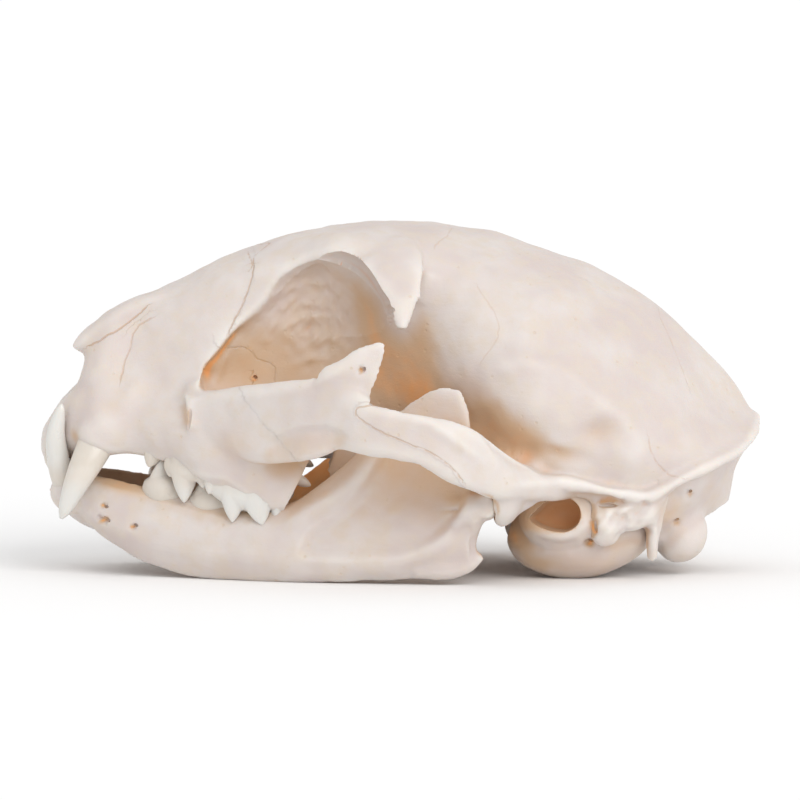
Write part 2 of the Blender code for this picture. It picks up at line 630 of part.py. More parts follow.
def cranium_core():
    """Braincase, orbit walls and snout as one skin through the rails."""
    stations = np.concatenate([np.linspace(*run) for run in CRANIUM_STATIONS])
    rails = np.stack([smooth_values(rail, stations) for rail in CRANIUM_RAILS.values()], axis=1)
    rings = []
    for x, half in zip(stations, rails):
        outline = np.vstack([half, half[-2:0:-1] * (-1, 1)])
        ring = closed_ring(outline, RING_POINTS)
        rings.append(np.column_stack([np.full(RING_POINTS, x), ring]))
    return loft("cranium", np.array(rings))


def grown(knots, more):
    """The knots of a sweep made larger all round."""
    rows = np.array(knots, float)
    rows[:, 3:] += more
    ends = rows[[0, -1], :3] - rows[[1, -2], :3]
    rows[[0, -1], :3] += more * ends / np.linalg.norm(ends, axis=1)[:, None]
    return rows


def arch_sweep():
    knots = []
    for x, breadth, low, high, thick in ARCH:
        knots.append((x, -breadth, (low + high) / 2, (high - low) / 2, thick))
    return sweep("arch", knots, steps=44, around=20, power=0.8)


def maxilla_sweep():
    knots = [(x, -breadth, middle, half, thick) for x, breadth, middle, half, thick in MAXILLA]
    return sweep("maxilla", knots, steps=24, around=16, power=0.9)


def broad_masses():
    """Everything of the cranium that blends softly."""
    side = [ball(name, size) for name, size in SOFT_MASSES.items()]
    side.append(maxilla_sweep())
    side.append(sweep("brow_process", BROW_PROCESS, up=(0, -0.6, 0.8)))
    side.append(sweep("nasal", NASAL))
    return [cranium_core()] + mirrored(side)


def crisp_details():
    """The arches, crests, plates and processes that keep their edges."""
    side = [arch_sweep()]
    for name, crest in CRESTS.items():
        side.append(sweep(name, **crest))
    return mirrored(side)


def cranium():
    """The whole upper skull, teeth included, before it is parted."""
    whole = join("cranium", broad_masses())
    melt(whole, VOXEL, 6)
    middle_holes = {
        "nose_hole": NOSE_HOLE,
        "choana": CHOANA,
        "foramen_magnum": FORAMEN_MAGNUM,
    }
    cutters = mirrored([ball("orbit", ORBIT), bowl("orbit_bowl", **ORBIT_BOWL)]) + [ball("palate", PALATE)]
    for name, knots in middle_holes.items():
        cutters.append(sweep(name, knots))
    cut(whole, cutters)
    join("cranium", [whole] + crisp_details())
    melt(whole, VOXEL, 2)
    later = [
        ball("under_brow", UNDER_BROW),
        bowl("brow_bowl", **BROW_BOWL),
        bowl("jaw_end_bowl", **JAW_END_BOWL),
    ]
    cut(whole, mirrored(later))
    thin_out(whole, CRANIUM_TRIANGLES)
    teeth = teeth_of(UPPER_CANINE, UPPER_CUSPS, UPPER_BASES, UPPER_INCISORS, True)
    join("cranium", [whole] + mirrored(teeth))
    return keep_largest(whole)


def bulla():
    """The left auditory bulla with its ear opening and a flat on the floor."""
    whole = join("bulla_left", [ball("bulla", BULLA), ball("collar", COLLAR)])
    melt(whole, VOXEL, 3)
    thin_out(whole, BULLA_TRIANGLES)
    return cut(whole, [bowl("ear_bowl", **EAR_BOWL), block("floor", FLOOR_CUT)])


def jaw_body():
    """One half's bone from its edges, breadth and the two swellings of its sides."""
    stations = np.linspace(JAW_LOW[0][0], JAW_LOW[-1][0], JAW_STATIONS)
    low = smooth_values(JAW_LOW, stations)[:, 0]
    high = smooth_values(JAW_HIGH, stations)[:, 0]
    breadth = smooth_values(JAW_BREADTH, stations)[:, 0]
    belly = smooth_values(JAW_BELLY, stations)
    neck = smooth_values(JAW_NECK, stations)
    shoulder = np.column_stack([neck[:, 0] * 0.75, high - np.minimum(1.6, (high - low) * 0.15)])
    rings = []
    for i, x in enumerate(stations):
        half = np.array([(0, high[i]), shoulder[i], neck[i], belly[i], (0, low[i])])
        outline = np.vstack([half, half[-2:0:-1] * (-1, 1)])
        ring = closed_ring(outline, JAW_RING_POINTS)
        rings.append(np.column_stack([np.full(JAW_RING_POINTS, x), ring[:, 0] - breadth[i], ring[:, 1]]))
    return loft("jaw", np.array(rings))


def jaw_half(neighbours):
    """The left half of the lower jaw with its teeth, clear of the bones and teeth above it."""
    pieces = [jaw_body()]
    for name, detail in JAW_DETAILS.items():
        pieces.append(sweep(name, **detail))
    whole = join("mandible_left", pieces)
    melt(whole, VOXEL, 4)
    cut(whole, [ball("fossa", FOSSA, turn=FOSSA_TURN)])
    melt(whole, VOXEL, 2)
    thin_out(whole, JAW_TRIANGLES)
    join("mandible_left", [whole] + teeth_of(LOWER_CANINE, LOWER_CUSPS, LOWER_BASES, LOWER_INCISORS, False))
    cut(whole, [swollen(neighbour) for neighbour in neighbours])
    cut(whole, [block("middle", MIDDLE_CUT), block("floor", FLOOR_CUT)])
    return keep_largest(whole)


def part_cranium(whole):
    """Parts the cranium along its sutures, clear of the bullae and the jaw's condyles."""
    cutters = [sweep("condyle_socket", grown(JAW_CONDYLE, SOCKET_GAP), steps=14)]
    for name, (centre, radii, tilt) in (("bulla", BULLA), ("collar", COLLAR)):
        socket = (centre, [radius + GAP for radius in radii], tilt)
        cutters.append(ball(f"{name}_socket", socket, around=24))
    cutters.append(blade("cheek_front", **CHEEK_FRONT))
    cutters.append(blade("cheek_rear", **CHEEK_REAR))
    cut(whole, mirrored(cutters) + [blade("face_seam", **FACE_SEAM)])
    return bodies(whole)


def name_cranium(parts):
    """The braincase, the face and the two cheek bones by name. What else the cuts left is removed."""
    nodes = {"braincase": parts[0], "face": parts[1]}
    for part in parts[2:4]:
        middle = np.array(part.bound_box)[:, 1].mean()
        nodes["zygomatic_left" if middle < 0 else "zygomatic_right"] = part
    for scrap in parts[4:]:
        bpy.data.objects.remove(scrap)
    return nodes


def paint(piece, name, colour):
    """A plain bone finish and smooth shading."""
    material = bpy.data.materials.new(name)
    material.use_nodes = True
    shader = material.node_tree.nodes["Principled BSDF"]
    shader.inputs["Base Color"].default_value = (*colour, 1)
    shader.inputs["Roughness"].default_value = 0.5
    shader.inputs["Metallic"].default_value = 0
    piece.data.materials.clear()
    piece.data.materials.append(material)
    piece.data.shade_smooth()
    piece.data.set_sharp_from_angle(angle=math.radians(50))


for leftover in list(bpy.data.objects):
    bpy.data.objects.remove(leftover)
work = bpy.data.collections.new("work")
bpy.context.scene.collection.children.link(work)
skull = bpy.data.collections.new("cat_skull")
bpy.context.scene.collection.children.link(skull)

nodes = name_cranium(part_cranium(cranium()))
upper_bones = [nodes["face"], nodes["braincase"], nodes["zygomatic_left"]]
nodes["bulla_left"], nodes["bulla_right"] = mirrored([bulla()])
nodes["mandible_left"], nodes["mandible_right"] = mirrored([jaw_half(upper_bones)])
for name, node in nodes.items():
    node.name = name
    work.objects.unlink(node)
    skull.objects.link(node)
    paint(node, f"{name}_bone", BONE_COLOUR)
for leftover in list(work.objects):
    bpy.data.objects.remove(leftover)
bpy.data.collections.remove(work)
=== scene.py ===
# Cat skull at life size: fine bones, teeth and the studio. Lengths in the dictionaries are in
# millimetres, the nose points to -X, the left side to -Y and the floor is z = 0.
import json
import math

import bpy
import numpy as np
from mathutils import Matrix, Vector

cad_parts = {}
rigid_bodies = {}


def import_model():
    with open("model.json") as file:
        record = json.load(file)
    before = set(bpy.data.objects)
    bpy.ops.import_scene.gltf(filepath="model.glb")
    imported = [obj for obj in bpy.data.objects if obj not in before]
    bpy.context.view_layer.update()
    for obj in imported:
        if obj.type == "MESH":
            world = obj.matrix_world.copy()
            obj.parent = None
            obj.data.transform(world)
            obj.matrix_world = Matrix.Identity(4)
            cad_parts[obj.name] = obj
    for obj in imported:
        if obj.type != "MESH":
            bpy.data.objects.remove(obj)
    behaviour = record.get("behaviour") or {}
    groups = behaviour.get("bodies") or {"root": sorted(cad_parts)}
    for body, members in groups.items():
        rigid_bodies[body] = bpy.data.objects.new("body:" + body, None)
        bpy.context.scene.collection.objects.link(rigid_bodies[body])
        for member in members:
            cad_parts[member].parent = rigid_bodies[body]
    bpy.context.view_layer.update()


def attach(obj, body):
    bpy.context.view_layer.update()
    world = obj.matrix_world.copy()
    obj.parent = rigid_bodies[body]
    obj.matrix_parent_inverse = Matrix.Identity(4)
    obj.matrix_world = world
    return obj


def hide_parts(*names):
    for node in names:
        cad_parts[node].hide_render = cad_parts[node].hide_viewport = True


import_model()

mm = 0.001

studio = {
    "look": (0, 0, 21.84),
    "elevation": 4,
    "distance": 950,
    "halfWidth": 51.47,  # of the middle plane, from the look point to the picture's edge
    "floorHalf": 9000,
    "world": 0.84,
    "lamps": {
        "above": {"place": (330, -560, 440), "spread": 40, "power": 1.25},
    },
}


# Curves and solids worked out as arrays

def valuesAlong(knots, at):
    # smooth curve through rows of (t, value, ...): a cubic between two rows, whose slopes come from
    # the rows on either side
    rows = np.array(knots, float)
    times, values = rows[:, 0], rows[:, 1:]
    slopes = np.gradient(values, times, axis=0)
    at = np.clip(np.asarray(at, float), times[0], times[-1])
    low = np.clip(np.searchsorted(times, at, side="right") - 1, 0, len(times) - 2)
    span = (times[low + 1] - times[low])[:, None]
    u = (at - times[low])[:, None] / span
    return (
        values[low] * (1 + 2 * u) * (1 - u) ** 2
        + slopes[low] * span * u * (1 - u) ** 2
        + values[low + 1] * u**2 * (3 - 2 * u)
        + slopes[low + 1] * span * u**2 * (u - 1)
    )


def lengthsAlong(points):
    return np.concatenate([[0], np.cumsum(np.linalg.norm(np.diff(points, axis=0), axis=1))])


def ringThrough(points, count):
    # smooth closed curve through the points, at even steps of its own length
    looped = np.vstack([points[-2:], points, points[:3]])
    along = lengthsAlong(looped)
    at = np.linspace(along[2], along[2 + len(points)], count, endpoint=False)
    return valuesAlong(np.column_stack([along, looped]), at)


def loft(rings):
    # neighbouring rings joined by two triangles for each step, and a fan round the mean of each end
    # ring; the faces are turned round where the volume comes out negative
    count, around = rings.shape[:2]
    i, j = np.meshgrid(np.arange(count - 1) * around, np.arange(around), indexing="ij")
    k = (j + 1) % around
    near, next_, far, across = i + j, i + k, i + around + k, i + around + j
    sides = np.stack([near, next_, far, near, far, across], axis=-1).reshape(-1, 3)
    j = np.arange(around)
    k = (j + 1) % around
    first, last = np.full(around, count * around), np.full(around, count * around + 1)
    end = (count - 1) * around
    caps = np.concatenate([np.stack([first, k, j], axis=-1), np.stack([last, end + j, end + k], axis=-1)])
    points = np.concatenate([rings.reshape(-1, 3), rings[:1].mean(axis=1), rings[-1:].mean(axis=1)])
    faces = np.concatenate([sides, caps])
    a, b, c = points[faces[:, 0]], points[faces[:, 1]], points[faces[:, 2]]
    volume = (a * np.cross(b, c)).sum()
    return points, faces if volume > 0 else faces[:, ::-1]


def sweep(knots, up=(0, 0, 1), steps=60, around=32, power=1.0):
    # a rounded section carried along a smooth curve; knots are rows of x, y, z, half size along up,
    # half size across; power under 1 makes the section boxy, over 1 makes it lens-shaped
    rows = np.array(knots, float)
    along = lengthsAlong(rows[:, :3])
    at = np.linspace(0, along[-1], steps)
    values = valuesAlong(np.column_stack([along, rows]), at)
    centre, tall, wide = values[:, :3], values[:, 3], values[:, 4]
    tangent = np.gradient(centre, at, axis=0)
    tangent /= np.linalg.norm(tangent, axis=1)[:, None]
    side = np.cross(tangent, np.array(up, float))
    side /= np.linalg.norm(side, axis=1)[:, None]
    rise = np.cross(side, tangent)
    angle = np.linspace(0, 2 * math.pi, around, endpoint=False)
    cosine = np.sign(np.cos(angle)) * np.abs(np.cos(angle)) ** power
    sine = np.sign(np.sin(angle)) * np.abs(np.sin(angle)) ** power
    return loft(
        centre[:, None]
        + side[:, None] * (wide[:, None] * cosine)[..., None]
        + rise[:, None] * (tall[:, None] * sine)[..., None]
    )


def ball(centre, radii, tilt=0, turn=0, around=48):
    # an ellipsoid from its latitudes, tilted about Y and then turned about Z, in degrees
    rise = np.linspace(-0.5, 0.5, around // 2 + 1)[1:-1] * math.pi
    angle = np.linspace(0, 2 * math.pi, around, endpoint=False)
    rings = np.stack(
        [
            np.cos(rise)[:, None] * np.cos(angle),
            np.cos(rise)[:, None] * np.sin(angle),
            np.repeat(np.sin(rise)[:, None], around, axis=1),
        ],
        axis=-1,
    ) * radii
    t, s = math.radians(tilt), math.radians(turn)
    tilted = np.array([[math.cos(t), 0, math.sin(t)], [0, 1, 0], [-math.sin(t), 0, math.cos(t)]])
    turned = np.array([[math.cos(s), -math.sin(s), 0], [math.sin(s), math.cos(s), 0], [0, 0, 1]])
    return loft(rings @ (turned @ tilted).T + np.array(centre, float))


def blade(line, near, far, thickness, wobble=0.0, steps=160):
    # a thin sheet across Y whose edge follows points of x and z, with a fine zigzag as a suture has
    path = np.array(line, float)
    along = lengthsAlong(path)
    at = np.linspace(0, along[-1], steps)
    path = valuesAlong(np.column_stack([along, path]), at)
    run = np.gradient(path, at, axis=0)
    run /= np.linalg.norm(run, axis=1)[:, None]
    across = np.column_stack([-run[:, 1], run[:, 0]])
    zigzag = np.sin(at * 4.1) * 0.5 + np.sin(at * 9.7 + 1) * 0.3 + np.sin(at * 1.7 + 2) * 0.6
    path = path + across * (wobble * zigzag)[:, None]
    left, right = path + across * thickness / 2, path - across * thickness / 2
    ring = [(left, near), (left, far), (right, far), (right, near)]
    return loft(np.stack([np.column_stack([e[:, 0], np.full(steps, y), e[:, 1]]) for e, y in ring], axis=1))


def block(low, high):
    # a box between two corners
    ring = np.array([(0, 0), (1, 0), (1, 1), (0, 1)], float)
    low, high = np.array(low, float), np.array(high, float)
    rings = np.array([np.column_stack([ring, np.full(4, level)]) for level in (0.0, 1.0)])
    return loft(low + rings * (high - low))


def mirrored(forms):
    # the forms and their images on the other side of the middle plane
    return list(forms) + [(points * (1, -1, 1), faces[:, ::-1]) for points, faces in forms]


def together(forms):
    starts = np.cumsum([0] + [len(points) for points, faces in forms[:-1]])
    points = np.concatenate([points for points, faces in forms])
    return points, np.concatenate([faces + start for start, (_, faces) in zip(starts, forms)])


# Meshes and what is done to them

def newPiece(name, form):
    points, faces = form
    mesh = bpy.data.meshes.new(name)
    mesh.from_pydata((points * mm).tolist(), [], faces.tolist())
    piece = bpy.data.objects.new(name, mesh)
    bpy.context.scene.collection.objects.link(piece)
    return piece


def settle(piece):
    # the piece's mesh becomes what its modifiers make of it
    bpy.context.view_layer.update()
    graph = bpy.context.evaluated_depsgraph_get()
    mesh = bpy.data.meshes.new_from_object(piece.evaluated_get(graph))
    piece.modifiers.clear()
    piece.data = mesh
    return piece


def melt(piece, voxel, rounds):
    # overlapping forms become one even skin, and its creases soften
    remesh = piece.modifiers.new("melt", "REMESH")
    remesh.mode = "VOXEL"
    remesh.voxel_size = voxel * mm
    if rounds:
        soften = piece.modifiers.new("soften", "SMOOTH")
        soften.factor = 0.5
        soften.iterations = rounds
    return settle(piece)


def fuse(name, forms, voxel, rounds):
    return melt(newPiece(name, together(forms)), voxel, rounds)


def carve(piece, forms):
    # cuts the forms from the piece
    group = bpy.data.collections.new("cutters")
    bpy.context.scene.collection.children.link(group)
    for form in forms:
        cutter = newPiece("cutter", form)
        bpy.context.scene.collection.objects.unlink(cutter)
        group.objects.link(cutter)
    modifier = piece.modifiers.new("carve", "BOOLEAN")
    modifier.solver = "MANIFOLD"
    modifier.operation = "DIFFERENCE"
    modifier.operand_type = "COLLECTION"
    modifier.collection = group
    settle(piece)
    for cutter in list(group.objects):
        bpy.data.objects.remove(cutter)
    bpy.data.collections.remove(group)
    return piece


def formOf(piece):
    # the piece's points in millimetres and its faces as triangles
    mesh = piece.data
    mesh.calc_loop_triangles()
    points = np.empty(len(mesh.vertices) * 3, np.float32)
    mesh.vertices.foreach_get("co", points)
    faces = np.empty(len(mesh.loop_triangles) * 3, np.int32)
    mesh.loop_triangles.foreach_get("vertices", faces)
    return points.reshape(-1, 3).astype(float) / mm, faces.reshape(-1, 3)


def normalsOf(piece):
    normals = np.empty(len(piece.data.vertices) * 3, np.float32)
    piece.data.vertex_normals.foreach_get("vector", normals)
    return normals.reshape(-1, 3).astype(float)


def place(piece, points):
    piece.data.vertices.foreach_set("co", (points * mm).astype(np.float32).ravel())
    piece.data.update()


def edgesOf(piece):
    edges = np.empty(len(piece.data.edges) * 2, np.int32)
    piece.data.edges.foreach_get("vertices", edges)
    return edges.reshape(-1, 2)


def relaxed(values, edges, rounds, share=0.5):
    # each value moves towards the mean of its neighbours', again and again
    count = len(values)
    a, b = edges.T
    links = np.maximum(np.bincount(a, minlength=count) + np.bincount(b, minlength=count), 1)
    columns = values.reshape(count, -1).T.copy()
    for _ in range(rounds):
        for column in columns:
            total = np.bincount(a, column[b], count) + np.bincount(b, column[a], count)
            column += share * (total / links - column)
    return columns.T.reshape(values.shape)


def looseParts(piece):
    # the piece split into its separate bodies, the largest first
    bpy.ops.object.select_all(action="DESELECT")
    piece.select_set(True)
    bpy.context.view_layer.objects.active = piece
    before = set(bpy.data.objects)
    bpy.ops.mesh.separate(type="LOOSE")
    made = [piece] + [other for other in bpy.data.objects if other not in before]
    return sorted(made, key=lambda part: -len(part.data.vertices))


def keepLargest(piece):
    parts = looseParts(piece)
    for scrap in parts[1:]:
        bpy.data.objects.remove(scrap)
    return parts[0]


def mirrorPiece(piece, name):
    copy = bpy.data.objects.new(name, piece.data.copy())
    bpy.context.scene.collection.objects.link(copy)
    points, _ = formOf(copy)
    place(copy, points * (1, -1, 1))
    copy.data.flip_normals()
    return copy


def smoothStep(low, high, value):
    u = np.clip((value - low) / (high - low), 0, 1)
    return u * u * (3 - 2 * u)


def ripples(points, size, seed, count=14):
    # smooth noise from -1 to 1: plane waves about that long, in random directions, added up
    random = np.random.default_rng(seed)
    ways = random.normal(size=(count, 3))
    ways /= np.linalg.norm(ways, axis=1)[:, None]
    ways *= (2 * math.pi / size * random.uniform(0.6, 1.5, count))[:, None]
    return np.sin(points @ ways.T + random.uniform(0, 2 * math.pi, count)).sum(axis=1) / math.sqrt(count)


def toPath(points, path):
    # for each point of a plane: its distance to a polyline, on which side it lies, how far along
    path = np.array(path, float)
    along = lengthsAlong(path)
    best = np.full(len(points), np.inf)
    side, share = np.ones(len(points)), np.zeros(len(points))
    for number, (start, end) in enumerate(zip(path[:-1], path[1:])):
        run = end - start
        u = np.clip((points - start) @ run / (run @ run), 0, 1)
        gap = points - start - u[:, None] * run
        distance = np.hypot(gap[:, 0], gap[:, 1])
        closer = distance < best
        best[closer] = distance[closer]
        side[closer] = np.sign(run[0] * gap[closer, 1] - run[1] * gap[closer, 0])
        share[closer] = (along[number] + u[closer] * (along[number + 1] - along[number])) / along[-1]
    return best, side, share


def insidePath(points, path):
    # whether each point of a plane lies inside a closed polyline: a ray from it crosses an odd number
    # of edges
    inside = np.zeros(len(points), bool)
    for (x, z), (endX, endZ) in zip(path, path[1:] + path[:1]):
        crosses = (points[:, 1] < z) != (points[:, 1] < endZ)
        at = x + (points[:, 1] - z) * (endX - x) / ((endZ - z) or 1e-9)
        inside ^= crosses & (points[:, 0] < at)
    return inside


# Relief is a table of strokes on a bone. A stroke is a band along a path, a dot, or the rim of a basin.
# It has a rise along the surface's normal and the breadths between which it works. It works on what
# faces outward, a deep one also on what faces away, and an inner one on that alone. Its places are
# measured as the camera sees the left side, at the scale of the middle plane, or straight from above
# or behind.

planes = ("side", "top", "back")


def flattened(points, plane):
    if plane == "top":
        return points[:, :2]
    if plane == "back":
        return points[:, 1:]
    rise, away = math.radians(studio["elevation"]), studio["distance"]
    gap = points - studio["look"]
    size = away / (away + gap[:, 1] * math.cos(rise) - gap[:, 2] * math.sin(rise))
    height = gap[:, 1] * math.sin(rise) + gap[:, 2] * math.cos(rise)
    return np.column_stack([gap[:, 0] * size, studio["look"][2] + height * size])


def strokeLift(stroke, flat, folded, facing):
    near, far = stroke["reach"]
    mask = smoothStep(near - 1, near, folded[:, 1]) * (1 - smoothStep(far, far + 1, folded[:, 1]))
    if "inner" in stroke:
        mask = mask * smoothStep(0.0, 0.35, -facing)
    elif "deep" not in stroke:
        mask = mask * smoothStep(0.0, 0.35, facing)
    if "spot" in stroke:
        x, z, wide, high, tilt = stroke["spot"]
        c, s = math.cos(math.radians(tilt)), math.sin(math.radians(tilt))
        gap = flat - (x, z)
        u = (gap[:, 0] * c + gap[:, 1] * s) / wide
        v = (gap[:, 1] * c - gap[:, 0] * s) / high
        shape = np.exp(-(u * u + v * v))
    elif "rim" in stroke:
        rim = ringThrough(np.array(stroke["rim"]), 60).tolist()
        distance, _, _ = toPath(flat, rim + rim[:1])
        shape = insidePath(flat, rim) * smoothStep(0, stroke["edge"], distance)
    else:
        distance, side, share = toPath(flat, stroke["path"])
        shape = np.exp(-((distance / stroke["width"]) ** 2))
        if "shelf" in stroke:
            across = smoothStep(-stroke["width"], stroke["width"], -distance * side)
            shape = across * np.exp(-((distance / stroke["shelf"]) ** 2))
        shape = shape * smoothStep(-0.02, 0.2, share) * smoothStep(-0.02, 0.2, 1 - share)
    if "grain" in stroke:
        shape = shape * ripples(folded, stroke["grain"], 5)
    return stroke["rise"] * shape * mask


def foldedViews(points, normals):
    # the points with both sides laid on one, flat in each plane, and how far they face its eye
    side = np.sign(points[:, 1])
    folded = np.column_stack([points[:, 0], np.abs(points[:, 1]), points[:, 2]])
    flats = {plane: flattened(folded * (1, -1, 1) if plane == "side" else folded, plane) for plane in planes}
    return folded, flats, dict(zip(planes, (normals[:, 1] * side, normals[:, 2], normals[:, 0])))


def strokeSum(points, normals, strokes):
    folded, flats, facings = foldedViews(points, normals)
    total = np.zeros(len(points))
    for stroke in strokes:
        plane = stroke.get("plane", "side")
        total += strokeLift(stroke, flats[plane], folded, facings[plane])
    return total


def sculpt(piece, strokes, waves=()):
    # moves every point along its normal by the sum of the strokes and of soft waves
    points, _ = formOf(piece)
    normals = normalsOf(piece)
    lift = strokeSum(points, normals, strokes)
    folded = np.column_stack([points[:, 0], np.abs(points[:, 1]), points[:, 2]])
    for size, rise, seed in waves:
        lift += rise * ripples(folded, size, seed)
    place(piece, points + normals * lift[:, None])
    return piece


def bowl(rim, levels):
    # a smooth closed rim of points of x and z carried across Y: each level has its y, the rim's size
    # there and how far its middle moves, and between two levels these change evenly
    ring = ringThrough(np.array(rim, float), 300)
    middle = ring.mean(axis=0)
    rows = np.array(levels, float)
    depths = np.linspace(rows[0, 0], rows[-1, 0], int(np.ptp(rows[:, 0]) / 0.4))
    size, moveX, moveZ = (np.interp(depths, rows[:, 0], column)[:, None] for column in rows.T[1:])
    x = middle[0] + (ring[:, 0] - middle[0]) * size + moveX
    z = middle[1] + (ring[:, 1] - middle[1]) * size + moveZ
    return loft(np.stack([x, np.broadcast_to(depths[:, None], x.shape), z], axis=-1))


def dot(rise, reach, *place, **more):
    # place is x, z, half width, half height and tilt in degrees
    return dict(rise=rise, reach=reach, spot=place, **more)


def band(rise, width, reach, *path, **more):
    return dict(rise=rise, width=width, reach=reach, path=list(path), **more)


def basin(rise, edge, reach, *rim, **more):
    return dict(rise=rise, edge=edge, reach=reach, rim=list(rim), **more)


def seam(rise, reach, *path, plane="side"):
    return dict(rise=rise, reach=reach, path=list(path), plane=plane)


